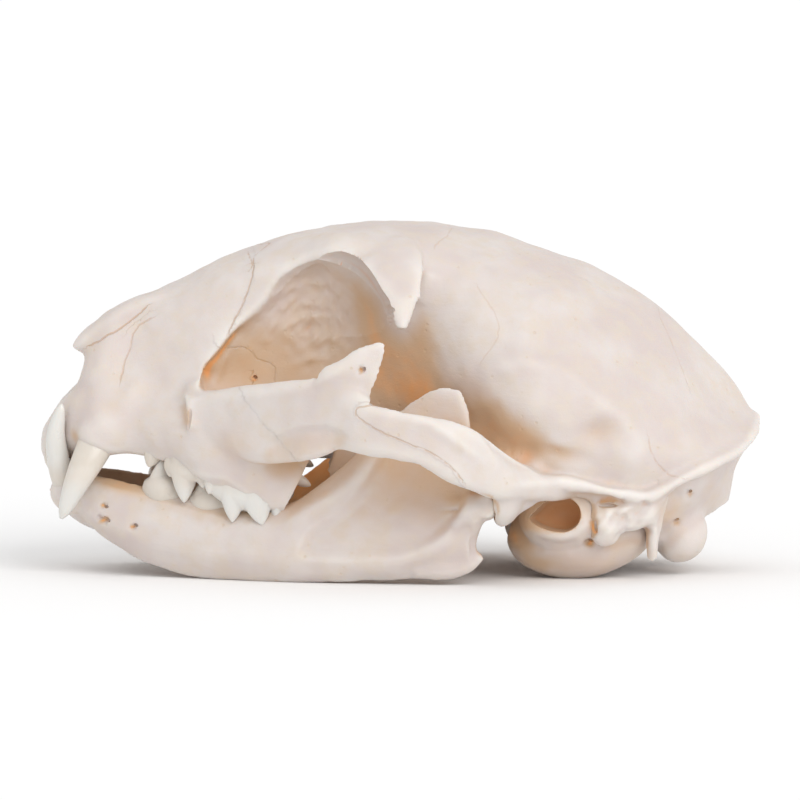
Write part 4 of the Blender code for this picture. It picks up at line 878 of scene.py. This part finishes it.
def drill(piece, pits, depth=0.6):
    # a ball is carved where each pit, seen from the side, meets the outermost surface, on both sides
    points, _ = formOf(piece)
    _, flats, facings = foldedViews(points, normalsOf(piece))
    outward = np.where(facings["side"] > 0.2, points[:, 1], 0)
    balls = []
    for x, z, wide, high, tilt in pits:
        near = np.linalg.norm(flats["side"] - (x, z), axis=1) < 0.5
        if near.any():
            spot = points[np.argmin(np.where(near, outward, 0))]
            balls.append(ball(spot, (wide, depth, high), tilt, around=24))
    return carve(piece, mirrored(balls))


def craniumSkin(form):
    # at each station the rails give the points of half a section, which is mirrored into a ring
    stations = np.concatenate([np.linspace(*run) for run in form["stations"]])
    rails = np.stack([valuesAlong(rail, stations) for rail in form["rails"].values()], axis=1)
    rings = []
    for x, half in zip(stations, rails):
        ring = ringThrough(np.vstack([half, half[-2:0:-1] * (-1, 1)]), form["around"])
        rings.append(np.column_stack([np.full(len(ring), x), ring]))
    return loft(np.array(rings))


def archForm(rows):
    knots = [
        (x, -breadth, (low + high) / 2, (high - low) / 2, thick) for x, breadth, low, high, thick in rows
    ]
    return sweep(knots, steps=120, around=48, power=0.8)


def maxillaForm(rows):
    knots = [(x, -breadth, middle, half, thick) for x, breadth, middle, half, thick in rows]
    return sweep(knots, steps=80, around=40, power=0.9)


def makeCranium(form):
    side = [ball(*size) for size in form["softMasses"].values()]
    side += [maxillaForm(form["maxilla"]), sweep(form["nasal"])]
    whole = fuse("cranium", [craniumSkin(form)] + mirrored(side), form["broadVoxel"], form["broadRounds"])
    middle = [sweep(form[name]) for name in ("noseHole", "choana", "foramenMagnum")]
    orbit = [ball(*form["orbit"]), bowl(form["orbitRim"], form["orbitLevels"])]
    carve(whole, mirrored(orbit) + [ball(*form["palate"])] + middle)
    details = [archForm(form["arch"]), sweep(form["browProcess"], up=(0, -0.6, 0.8))]
    details += [sweep(**crest) for crest in form["crests"].values()]
    fine = fuse("fineCranium", [formOf(whole)] + mirrored(details), form["fineVoxel"], form["fineRounds"])
    bpy.data.objects.remove(whole)
    cuts = [ball(*form["underBrow"], around=160), bowl(form["browRim"], form["browLevels"])]
    cuts += [bowl(form["jawEnd"], form["jawEndLevels"]), bowl(form["cheekEnd"], form["cheekEndLevels"])]
    fine = keepLargest(carve(fine, mirrored(cuts) + [ball(*form["foramenArch"], around=96)]))
    return drill(sculpt(fine, craniumRelief, form["waves"]), craniumPits)


def partCranium(whole, form, bulla, jaw):
    # the jaw joint's socket follows the condyle, and the ear's socket the bulla
    sockets = [sweep([(*knot[:3], knot[3] + 0.22, knot[4] + 0.22) for knot in jaw["details"]["condyle"]])]
    for centre, radii, tilt in (bulla["shell"], bulla["collar"]):
        sockets.append(ball(centre, np.array(radii) + 0.12, tilt))
    width = form["seamWidth"]
    sockets.append(blade(form["cheekFront"], -11.6, -40, width, wobble=0.16))
    sockets.append(blade(form["cheekRear"], -23.6, -40, width, wobble=0.1))
    carve(whole, mirrored(sockets) + [blade(form["faceSeam"], -17, 17, width, wobble=0.2, steps=300)])
    parts = looseParts(whole)
    for scrap in parts[4:]:
        bpy.data.objects.remove(scrap)
    pieces = {"braincase": parts[0], "face": parts[1]}
    for part in parts[2:4]:
        side = "left" if formOf(part)[0][:, 1].mean() < 0 else "right"
        pieces[f"zygomatic_{side}"] = part
    return pieces


def makeBulla(form):
    whole = fuse("bulla", [ball(*form["shell"]), ball(*form["collar"])], form["voxel"], form["rounds"])
    sculpt(whole, bullaRelief, form["waves"])
    carve(whole, [bowl(form["earRim"], form["earLevels"]), block((0, -40, -10), (60, 40, 0))])
    return drill(whole, bullaPits)


# The lower jaw

jaw = {
    "stations": 220,
    "around": 80,
    "voxel": 0.3,
    "rounds": 9,
    "low": [
        (-44.4, 10.9), (-42.1, 8.3), (-40, 6.3), (-37.1, 4.3), (-33.1, 2.2), (-29.2, 0.8), (-25.3, 0),
        (-21.4, -0.2), (-13, -0.2), (-7.7, 0.1), (0, 0.6), (6, 0.7), (8.8, 1.4),
    ],
    "high": [
        (-44.4, 12.2), (-42, 13), (-38, 12.6), (-33, 11.6), (-28, 10.6), (-22, 9.4), (-16, 9.4),
        (-13, 10.6), (-9.6, 12.9), (-6.6, 15.5), (-4, 18), (-1, 21), (1, 23), (3.4, 24.6), (6.2, 25.1),
        (8, 24.2), (8.8, 22),
    ],
    "breadth": [
        (-44.4, 3.4), (-41, 5.2), (-37, 7.6), (-33, 9.8), (-28, 12), (-22, 14.6), (-15, 17.3),
        (-8, 19.3), (0, 20.8), (8.8, 22),
    ],
    # rows of x, half thickness, height of the two swellings of the side
    "belly": [
        (-44.4, 2, 11.2), (-41, 2.7, 8.4), (-36, 2.8, 6.2), (-28, 2.6, 4.6), (-16, 2.6, 4.2),
        (-6, 2.2, 3.2), (2, 1.8, 2.6), (8.8, 1.5, 3.4),
    ],
    "neck": [
        (-44.4, 2, 11.8), (-41, 2.5, 11), (-34, 2.2, 9.6), (-26, 2.5, 7.8), (-15, 2.2, 7),
        (-8, 1.6, 9.6),
        (-2, 1, 14), (4, 0.85, 18), (8.8, 0.7, 18),
    ],
    "details": {
        "symphysis": [
            (-44.2, -2, 11.6, 1.4, 3), (-41, -2.4, 9.6, 2.8, 3.6), (-37, -2.8, 7.6, 2.8, 3.8),
            (-33.5, -3.4, 6.2, 1.6, 3),
        ],
        "canineSocket": [
            (-41.2, -5.9, 7.9, 1.2, 1.2), (-42, -6.1, 9.4, 2.1, 2.1), (-42.7, -6.3, 11, 2.2, 2.1),
            (-43.1, -6.5, 12.4, 1.3, 1.3),
        ],
        "condyleNeck": [
            (3, -21.6, 9, 3.4, 1.3), (6.2, -22.3, 9.3, 3, 2.2), (8.6, -22.7, 9.8, 2.6, 3.2),
            (10.4, -22.8, 10.2, 1.9, 3.4),
        ],
        "condyle": [
            (10.5, -14.6, 9.8, 1, 1), (10.8, -17, 10.2, 1.8, 1.6), (10.9, -21, 10.3, 2, 1.7),
            (10.9, -24.8, 10.3, 1.9, 1.6), (10.8, -26.1, 10.3, 1.4, 1.2),
        ],
        "angle": [(2, -21.4, 2.3, 1.6, 1.4), (6, -21.9, 2.4, 1.7, 1.4), (8.6, -22, 2.9, 1.3, 1.1),
        (10.3, -21.8, 3.7, 0.6, 0.6)],
    },
    "waves": [(7, 0.1, 6), (2.6, 0.03, 9)],
    "rearEdge": [(8.6, -22, 3, 1, 1.1), (8.7, -22.3, 6.2, 1.1, 1.4), (9.3, -23, 9.2, 1.6, 2.9)],
    "middleGap": 0.03,
}


def jawBody(form):
    # at each station the section's points run from the upper edge over both swellings to the lower one
    stations = np.linspace(form["low"][0][0], form["low"][-1][0], form["stations"])
    low, high, breadth = (valuesAlong(form[name], stations)[:, 0] for name in ("low", "high", "breadth"))
    belly, neck = valuesAlong(form["belly"], stations), valuesAlong(form["neck"], stations)
    shoulder = np.column_stack([neck[:, 0] * 0.75, high - np.minimum(1.6, (high - low) * 0.15)])
    rings = []
    for i, x in enumerate(stations):
        half = np.array([(0, high[i]), shoulder[i], neck[i], belly[i], (0, low[i])])
        ring = ringThrough(np.vstack([half, half[-2:0:-1] * (-1, 1)]), form["around"])
        rings.append(np.column_stack([np.full(len(ring), x), ring[:, 0] - breadth[i], ring[:, 1]]))
    return loft(np.array(rings))


def makeJaw(form):
    forms = [jawBody(form)] + [sweep(knots) for knots in form["details"].values()]
    forms.append(sweep(form["rearEdge"], up=(1, 0, 0)))
    whole = fuse("mandible", forms, form["voxel"], form["rounds"])
    drill(sculpt(whole, jawRelief, form["waves"]), jawPits)
    gap = form["middleGap"]
    carve(whole, [block((-60, -gap, -10), (0, 20, 40)), block((-60, -40, -10), (40, 40, 0))])
    return keepLargest(whole)


# The teeth of the left side. Rows of a cusp: x, half breadth and height at its base, the same at its
# tip, half length along the row, half width across it.

teeth = {
    "voxel": 0.14,
    "rounds": 3,
    "cuspShape": [(0, 1), (0.2, 0.96), (0.4, 0.84), (0.6, 0.66), (0.8, 0.42), (0.93, 0.2), (1, 0.05)],
    "rootSize": 0.85,
    "upperCanine": [
        (-36.4, -8.2, 21.6, 1.6, 1.3), (-38.7, -9.5, 17, 2.3, 1.6), (-39.9, -10.4, 14.6, 2.05, 1.55),
        (-41.1, -10.95, 12.2, 1.65, 1.35), (-42.1, -10.9, 10, 1.2, 1), (-42.8, -10.7, 8.3, 0.75, 0.65),
        (-43.2, -10.6, 7.4, 0.25, 0.25),
    ],
    "lowerCanine": [
        (-41.6, -6.3, 8.6, 1.4, 1.2), (-43.2, -6.9, 12.6, 1.5, 1.3), (-43.8, -7.4, 15.6, 1.4, 1.15),
        (-43.9, -8, 18.3, 1.15, 0.95), (-43.5, -8.4, 20.3, 0.8, 0.65), (-43.2, -8.6, 21.5, 0.45, 0.4),
        (-43.1, -8.65, 22, 0.12, 0.12),
    ],
    "upperBases": [
        (-29.6, 13.1, 14.5, -24.8, 15, 13.4, 1.25, 1.05), (-24.5, 15.6, 12.8, -16.4, 18.3, 10, 1.7, 1.2),
    ],
    "lowerBases": [
        (-32.6, 10.2, 11.6, -28, 12, 10.6, 1.7, 1.2), (-26.6, 12.6, 10, -21.6, 14.3, 9.4, 1.6, 1.2),
        (-21, 14.5, 9, -14, 16.4, 8.6, 1.8, 1.2),
    ],
    "upperCusps": [
        (-31.2, 11.2, 16.2, -32, 11.4, 14, 1.35, 0.8),
        (-29, 13.2, 14.6, -29.2, 13.4, 12.9, 1, 0.8), (-27.3, 13.8, 14.6, -27.4, 14.2, 9.7, 1.9, 1.35),
        (-25, 14.8, 13.8, -24.9, 15, 11.6, 1.2, 0.9),
        (-23.6, 16, 13.2, -24.2, 16.4, 11, 1.2, 1), (-21, 17, 12.4, -21.2, 17.4, 7.5, 1.9, 1.25),
        (-18.2, 18, 11.2, -17.4, 18.4, 7.2, 2, 1.05), (-22.6, 14.6, 12.8, -22.6, 14.4, 10, 1.1, 1.1),
        (-15.4, 16.8, 10.4, -15.8, 17.3, 6.8, 1.15, 1.8),
        (-12.8, 15.6, 12.8, -11.2, 15.9, 12, 0.75, 0.7),
    ],
    "lowerCusps": [
        (-31.9, 10.6, 11.2, -32.1, 10.7, 12.4, 0.9, 0.8), (-30.5, 11, 11, -30.3, 11.2, 15.1, 1.8, 1.05),
        (-28.7, 11.8, 10.4, -28.6, 12, 12, 1.2, 0.9),
        (-25.8, 13, 9.9, -26, 13, 11.3, 0.9, 0.8), (-24.4, 13.4, 9.8, -24.2, 13.4, 13.6, 2, 1.05),
        (-22.2, 14.2, 9.4, -22.1, 14.2, 11.4, 1.2, 0.9),
        (-19, 15.2, 8.8, -19.4, 15, 12.4, 2, 1.05), (-15.8, 16, 8.2, -15.4, 15.8, 12.2, 1.9, 1),
    ],
    # rows of x, half breadth, height of the gum line, crown length, half width, half thickness
    "upperIncisors": [
        (-45.1, 0.95, 16.2, 3.1, 0.75, 0.75), (-44.8, 2.7, 16.3, 3.4, 0.85, 0.85),
        (-43.9, 4.9, 16.6, 4.2, 1.05, 1.2),
    ],
    "lowerIncisors": [
        (-44.4, 0.75, 11.8, -2.3, 0.55, 0.6), (-44.3, 2.05, 11.9, -2.4, 0.62, 0.65),
        (-43.9, 3.4, 12, -2.6, 0.7, 0.75),
    ],
}
toothBase = [(0, 0.5), (0.2, 1), (0.8, 1), (1, 0.5)]


def cuspForm(row, form):
    x, breadth, z, tipX, tipBreadth, tipZ, long, wide = row
    base, tip = np.array((x, -breadth, z)), np.array((tipX, -tipBreadth, tipZ))
    knots = [(*(base - (tip - base) * 0.5), long * form["rootSize"], wide * form["rootSize"])]
    knots += [(*(base + (tip - base) * at), long * size, wide * size) for at, size in form["cuspShape"]]
    return sweep(knots, up=(1, 0, 0), steps=24, around=24, power=1.15)


def baseForm(row):
    x, breadth, z, endX, endBreadth, endZ, tall, wide = row
    start, end = np.array((x, -breadth, z)), np.array((endX, -endBreadth, endZ))
    knots = [(*(start + (end - start) * at), tall * size, wide * size) for at, size in toothBase]
    return sweep(knots, steps=24, around=24)


def incisorForm(row):
    # a root that widens to a chisel edge, thin from front to back
    x, breadth, z, crown, wide, thick = row
    knots = [
        (x + 1.6, -breadth * 0.9, z + crown * 0.9, thick * 0.8, wide * 0.8),
        (x + 0.2, -breadth, z, thick, wide * 0.95),
        (x - 0.1, -breadth, z - crown * 0.45, thick * 0.85, wide * 1.05),
        (x, -breadth, z - crown * 0.85, thick * 0.5, wide),
        (x + 0.1, -breadth, z - crown, thick * 0.2, wide * 0.7),
    ]
    return sweep(knots, up=(1, 0, 0), steps=24, around=24, power=0.75)


def makeTeeth(name, form, canine, bases, cusps, incisors):
    forms = [sweep(form[canine], up=(1, 0, 0), steps=60, around=40)]
    forms += [baseForm(row) for row in form[bases]]
    forms += [cuspForm(row, form) for row in form[cusps]]
    forms += [incisorForm(row) for row in form[incisors]]
    return fuse(name, forms, form["voxel"], form["rounds"])


# Marks on the bones that the materials read

def solidHaze(forms, cell=1.0, spread=7.0):
    # how much bone surface lies round each place: the surface points counted in cells and blurred by a
    # Gaussian, through the Fourier transform
    points = np.concatenate([points for points, weight in forms])
    weights = np.concatenate([np.full(len(points), weight) for points, weight in forms])
    low = points.min(axis=0) - 4 * spread
    count = np.ceil((points.max(axis=0) + 4 * spread - low) / cell).astype(int)
    spans = [(a, a + n * cell) for a, n in zip(low, count)]
    grid, _ = np.histogramdd(points, bins=count, range=spans, weights=weights)
    flatWaves = [np.fft.fftfreq(n, cell) for n in count[:2]]
    waves = np.meshgrid(*flatWaves, np.fft.rfftfreq(count[2], cell), indexing="ij")
    soft = np.exp(-2 * (math.pi * spread) ** 2 * sum(wave**2 for wave in waves))
    haze = np.fft.irfftn(np.fft.rfftn(grid) * soft, grid.shape) * spread / cell**3
    return haze, low, cell


def readHaze(field, points):
    haze, low, cell = field
    at = np.clip((points - low) / cell - 0.5, 0, np.array(haze.shape) - 1.001)
    corner = at.astype(int)
    share = at - corner
    total = np.zeros(len(points))
    for step in np.ndindex(2, 2, 2):
        weight = np.prod(np.where(step, share, 1 - share), axis=1)
        total += weight * haze[tuple((corner + step).T)]
    return total


def areaPerPoint(points, faces):
    a, b, c = points[faces[:, 0]], points[faces[:, 1]], points[faces[:, 2]]
    return np.linalg.norm(np.cross(b - a, c - a), axis=1).sum() / 2 / len(points)


def mark(piece, name, values):
    layer = piece.data.attributes.new(name, "FLOAT", "POINT")
    layer.data.foreach_set("value", values.astype(np.float32))


def markRelief(piece):
    # how far each point lies under the mean of its near and of its wider surroundings, in tenths of a
    # millimetre
    points, _ = formOf(piece)
    normals = normalsOf(piece)
    edges = edgesOf(piece)
    near = relaxed(points, edges, 6)
    far = relaxed(near, edges, 60)
    mark(piece, "crease", ((near - points) * normals).sum(axis=1) * 10)
    mark(piece, "cavity", ((far - points) * normals).sum(axis=1) * 10)


hollowReach = 7  # how far in front of a point its hollow is felt


def markHollow(piece, field):
    # how much bone surrounds the space in front of each point, and the listed strokes of painted shade and
    # painted glow
    points, _ = formOf(piece)
    normals = normalsOf(piece)
    mark(piece, "hollow", readHaze(field, points + normals * hollowReach))
    mark(piece, "paintedShadeAndGlow", strokeSum(points, normals, shadeAndGlowStrokes))


def markLines(piece, lines):
    # the signed distance to the nearest suture that is only drawn, and a share that is 1 at such a line
    points, _ = formOf(piece)
    folded, flats, facings = foldedViews(points, normalsOf(piece))
    best, nearest, strength = np.full(len(points), 9.0), np.full(len(points), 9.0), np.zeros(len(points))
    for line in lines:
        plane = line["plane"]
        distance, side, _ = toPath(flats[plane], line["path"])
        near, far = line["reach"]
        off = (folded[:, 1] < near) | (folded[:, 1] > far) | (facings[plane] < 0.1)
        distance = distance + off * 9.0
        closer = distance < best
        best[closer] = distance[closer]
        nearest[closer] = (distance * side)[closer]
        strength[closer] = line["rise"]
    mark(piece, "lineSide", np.clip(nearest, -3, 3))
    mark(piece, "lineShare", strength * np.exp(-((best / 0.9) ** 2)))


# Materials

class Value:
    # a shader value that can be written in a Python expression
    def __init__(self, recipe, socket):
        self.recipe, self.socket = recipe, socket

    def maths(self, operation, *others):
        return self.recipe.node("ShaderNodeMath", {"operation": operation}, [self, *others])

    def __add__(self, other): return self.maths("ADD", other)
    def __radd__(self, other): return self.maths("ADD", other)
    def __sub__(self, other): return self.maths("SUBTRACT", other)
    def __rsub__(self, other):
        return self.recipe.node("ShaderNodeMath", {"operation": "SUBTRACT"}, [other, self])

    def __mul__(self, other): return self.maths("MULTIPLY", other)
    def __rmul__(self, other): return self.maths("MULTIPLY", other)
    def __truediv__(self, other): return self.maths("DIVIDE", other)
    def __pow__(self, other): return self.maths("POWER", other)
    def __abs__(self): return self.maths("ABSOLUTE")


class Recipe:
    # one material's nodes
    def __init__(self, name):
        self.material = bpy.data.materials.new(name)
        self.material.use_nodes = True
        self.nodes, self.links = self.material.node_tree.nodes, self.material.node_tree.links
        self.shader = self.nodes["Principled BSDF"]
        self.place = self.nodes.new("ShaderNodeTexCoord").outputs["Object"]

    def fill(self, socket, value):
        if isinstance(value, Value):
            self.links.new(value.socket, socket)
        elif isinstance(value, bpy.types.NodeSocket):
            self.links.new(value, socket)
        elif isinstance(value, tuple) and len(value) == 3 and socket.type == "RGBA":
            socket.default_value = (*value, 1)
        else:
            socket.default_value = value

    def node(self, kind, settings=(), inputs=(), output=0):
        made = self.nodes.new(kind)
        for name, value in dict(settings).items():
            setattr(made, name, value)
        pairs = inputs.items() if isinstance(inputs, dict) else enumerate(inputs)
        for name, value in pairs:
            self.fill(made.inputs[name], value)
        return Value(self, made.outputs[output])

    def attribute(self, name):
        return self.node("ShaderNodeAttribute", {"attribute_name": name}, output="Fac")

    def noise(self, size, detail=3.0, roughness=0.5, stretch=(1, 1, 1), distortion=0.0):
        # size is the width of its patches in millimetres
        place = self.place
        if stretch != (1, 1, 1):
            place = self.node("ShaderNodeMapping", (), {"Vector": place, "Scale": stretch})
        inputs = {
            "Vector": place, "Scale": 1 / (size * mm), "Detail": detail, "Roughness": roughness,
            "Distortion": distortion,
        }
        return self.node("ShaderNodeTexNoise", (), inputs)

    def cells(self, size, feature="F1"):
        inputs = {"Vector": self.place, "Scale": 1 / (size * mm)}
        return self.node("ShaderNodeTexVoronoi", {"feature": feature}, inputs, output="Distance")

    def step(self, low, high, value):
        inputs = {"Value": value, "From Min": low, "From Max": high}
        return self.node("ShaderNodeMapRange", {"interpolation_type": "SMOOTHSTEP"}, inputs)

    def mix(self, share, first, second, blend="MIX"):
        made = self.nodes.new("ShaderNodeMix")
        made.data_type, made.blend_type = "RGBA", blend
        self.fill(made.inputs[0], share)
        self.fill(made.inputs[6], first)
        self.fill(made.inputs[7], second)
        return made.outputs[2]

    def bump(self, height, distance, strength=1.0, under=None):
        inputs = {"Height": height, "Distance": distance * mm, "Strength": strength}
        if under is not None:
            inputs["Normal"] = under
        return self.node("ShaderNodeBump", (), inputs)

    def finish(self, **sockets):
        for name, value in sockets.items():
            self.fill(self.shader.inputs[name.replace("_", " ")], value)
        return self.material


def linear(red, green, blue):
    # the shader's value of a colour read off the screen, 0 to 255
    shares = [c / 255 for c in (red, green, blue)]
    return tuple(round(c / 12.92 if c < 0.0405 else ((c + 0.055) / 1.055) ** 2.4, 4) for c in shares)


boneLook = {
    "pale": linear(215, 206, 201),
    "pink": linear(208, 195, 190),
    "ivory": linear(213, 200, 187),
    # tan and amber are painted shade in the hollows and creases; amber is also the painted glow
    "tan": linear(206, 175, 144),
    "amber": linear(220, 158, 102),
    "chalk": linear(235, 231, 225),
    "line": linear(188, 140, 92),
    "shadeFrom": 0.45, "shadeTo": 1.0, "shade": 0.75,  # of the bone round a hollow
    "roughness": 0.52,
}


def boneMaterial(name, look, warmth=0.0):
    r = Recipe(name)
    hollow, cavity, crease = r.attribute("hollow"), r.attribute("cavity"), r.attribute("crease")
    patches = r.noise(9, 3)
    clouds = r.noise(2.6, 4, 0.6)
    fibres = r.noise(0.55, 4, 0.6, stretch=(0.25, 1, 1))
    grain = r.noise(0.16, 2)
    colour = r.mix(r.step(0.35, 0.65, patches), look["pale"], look["pink"])
    colour = r.mix(r.step(0.4, 0.7, clouds) * 0.75, colour, look["ivory"])
    # paler towards convex edges and crests
    convexPale = r.step(0.0, 3.0, crease * -1) * 0.4 + r.step(0.5, 5.0, cavity * -1) * 0.35
    colour = r.mix(convexPale, colour, look["chalk"])
    # painted shade: tan where much bone surrounds the space in front, plus the piece's warmth and the
    # painted strokes
    inside = r.step(look["shadeFrom"], look["shadeTo"], hollow) * look["shade"] + warmth
    shade = (inside + r.attribute("paintedShadeAndGlow")) * (clouds * 0.5 + 0.75)
    paintedShadeAndGlow = r.step(0.0, 1.0, shade)
    colour = r.mix(paintedShadeAndGlow, colour, look["tan"])
    # painted shade: amber where the painted shade is deepest
    deep = r.step(0.9, 1.7, shade)
    colour = r.mix(deep, colour, look["amber"])
    # painted shade: amber in concave creases and cavities
    creaseShade = r.step(0.8, 3.2, crease) * 0.4 + r.step(3.0, 10.0, cavity) * 0.3
    colour = r.mix(creaseShade, colour, look["amber"])
    colour = r.mix(r.step(0.62, 0.8, fibres) * 0.1, colour, look["tan"])
    wander = r.noise(1.3, 3)
    core = r.step(0.17, 0.03, abs(r.attribute("lineSide") + (wander - 0.5) * 0.5))
    core = core * r.attribute("lineShare") * r.step(0.3, 0.5, clouds)
    colour = r.mix(core * 0.5, colour, look["line"])
    pores = r.step(0.2, 0.08, r.cells(1.4)) * r.step(0.5, 0.65, clouds)
    colour = r.mix(pores * 0.25, colour, look["tan"])
    height = fibres * 0.5 + grain * 0.25 + clouds * 0.8 - pores * 0.6 - core * 1.2
    normal = r.bump(height, 0.13, 0.6)
    roughness = look["roughness"] + (clouds - 0.5) * 0.2 + paintedShadeAndGlow * 0.12
    paintedGlow = r.mix(deep, (0.0, 0.0, 0.0), look["amber"])  # painted light: the deepest painted shade glows amber, for light that soaks through thin and hollow bone
    return r.finish(
        Base_Color=colour, Roughness=roughness, Normal=normal, Subsurface_Weight=0.12,
        Subsurface_Radius=(2.2 * mm, 1.2 * mm, 0.7 * mm), Subsurface_Scale=1.0, Specular_IOR_Level=0.35,
        Emission_Color=paintedGlow, Emission_Strength=0.14,
    )


toothLook = {
    "crown": linear(217, 209, 199),
    "neck": linear(210, 201, 189),
    "tip": linear(220, 218, 213),
    "roughness": 0.3,
}


def toothMaterial(name, look):
    r = Recipe(name)
    root, hollow = r.attribute("root"), r.attribute("hollow")
    streaks = r.noise(0.5, 3, 0.55, stretch=(1, 1, 0.22))
    clouds = r.noise(1.6, 3)
    colour = r.mix(r.step(0.3, 0.8, root + (clouds - 0.5) * 0.3), look["tip"], look["crown"])
    colour = r.mix(r.step(0.85, 1.05, root + (streaks - 0.5) * 0.2) * 0.7, colour, look["neck"])
    colour = r.mix(r.step(0.55, 0.75, streaks) * 0.1, colour, look["neck"])
    # painted shade: the neck's colour where much bone surrounds the space in front
    colour = r.mix(r.step(0.7, 1.4, hollow) * 0.6, colour, look["neck"])
    height = streaks * 0.6 + clouds * 0.4
    return r.finish(
        Base_Color=colour, Roughness=look["roughness"] + (clouds - 0.5) * 0.15,
        Normal=r.bump(height, 0.05, 0.4), Subsurface_Weight=0.2,
        Subsurface_Radius=(1.2 * mm, 0.9 * mm, 0.7 * mm), Subsurface_Scale=1.0,
        Coat_Weight=0.15, Coat_Roughness=0.2,
    )


sharpAngle = 55  # degrees, past which an edge is shaded sharp


def dress(piece, name, material):
    piece.name = piece.data.name = name
    piece.data.materials.clear()
    piece.data.materials.append(material)
    piece.data.shade_smooth()
    piece.data.set_sharp_from_angle(angle=math.radians(sharpAngle))
    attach(piece, "root")


# The studio

def aim(thing, target):
    thing.rotation_euler = (Vector(target) * mm - thing.location).to_track_quat("-Z", "Y").to_euler()


def makeStudio(form):
    scene = bpy.context.scene
    scene.view_settings.view_transform = "Standard"
    rise = math.radians(form["elevation"])
    look = Vector(form["look"])
    camera = bpy.data.objects.new("camera", bpy.data.cameras.new("camera"))
    camera.location = (look + form["distance"] * Vector((0, -math.cos(rise), math.sin(rise)))) * mm
    camera.data.angle = 2 * math.atan(form["halfWidth"] / form["distance"])
    camera.data.clip_start, camera.data.clip_end = 0.05, 60
    scene.collection.objects.link(camera)
    aim(camera, form["look"])
    scene.camera = camera
    for name, lamp in form["lamps"].items():
        light = bpy.data.lights.new(name, "SUN")
        light.angle, light.energy = math.radians(lamp["spread"]), lamp["power"]
        thing = bpy.data.objects.new(name, light)
        thing.location = Vector(lamp["place"]) * mm
        scene.collection.objects.link(thing)
        aim(thing, form["look"])
    world = bpy.data.worlds.new("studio")
    world.use_nodes = True
    world.node_tree.nodes["Background"].inputs["Color"].default_value = (1, 1, 1, 1)
    world.node_tree.nodes["Background"].inputs["Strength"].default_value = form["world"]
    scene.world = world
    half = form["floorHalf"]
    corners = np.array([(-half, -half, 0), (half, -half, 0), (half, half, 0), (-half, half, 0)], float)
    floor = newPiece("floor", (corners, np.array([(0, 1, 2), (0, 2, 3)])))
    r = Recipe("floor_white")
    white = (0.96, 0.96, 0.96)
    floor.data.materials.append(r.finish(Base_Color=white, Roughness=0.9, Specular_IOR_Level=0.0))


makeStudio(studio)
print("studio made")
bulla = makeBulla(bullaForm)
markRelief(bulla)
upper = makeCranium(cranium)
markRelief(upper)
print("cranium made", len(upper.data.polygons))
bones = partCranium(upper, cranium, bullaForm, jaw)
mandible = makeJaw(jaw)
markRelief(mandible)
bones["bulla_left"], bones["mandible_left"] = bulla, mandible
bones["bulla_right"] = mirrorPiece(bulla, "bulla_right")
bones["mandible_right"] = mirrorPiece(mandible, "mandible_right")
print("bones parted", {name: len(piece.data.polygons) for name, piece in bones.items()})
crowns = {}
for row in ("upper", "lower"):
    kinds = [row + kind for kind in ("Canine", "Bases", "Cusps", "Incisors")]
    crowns[f"{row}_teeth_left"] = makeTeeth(row, teeth, *kinds)
for name in list(crowns):
    crowns[name.replace("left", "right")] = mirrorPiece(crowns[name], "right")
print("teeth made", {name: len(piece.data.polygons) for name, piece in crowns.items()})

forms = []
for piece in bones.values():
    points, faces = formOf(piece)
    forms.append((points, areaPerPoint(points, faces)))
field = solidHaze(forms)
boneFinish = boneMaterial("bone", boneLook)
bullaFinish = boneMaterial("bulla_bone", boneLook, warmth=0.18)
for name, piece in bones.items():
    markHollow(piece, field)
    markLines(piece, sutures)
    dress(piece, f"{name}_bone", bullaFinish if name.startswith("bulla") else boneFinish)
    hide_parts(name)
enamelFinish = toothMaterial("enamel", toothLook)
gums = {"upper": 14.5, "lower": 11.0}  # height of the gum line
crownHeight = 6
for name, piece in crowns.items():
    points, _ = formOf(piece)
    gum = gums[name.split("_")[0]]
    reach = np.abs(points[:, 2] - gum)
    crown = (points[:, 2] < gum) if name.startswith("upper") else (points[:, 2] > gum)
    mark(piece, "root", np.where(crown, 1 - reach / crownHeight, 1.0))
    markHollow(piece, field)
    dress(piece, name, enamelFinish)
print("pieces dressed")
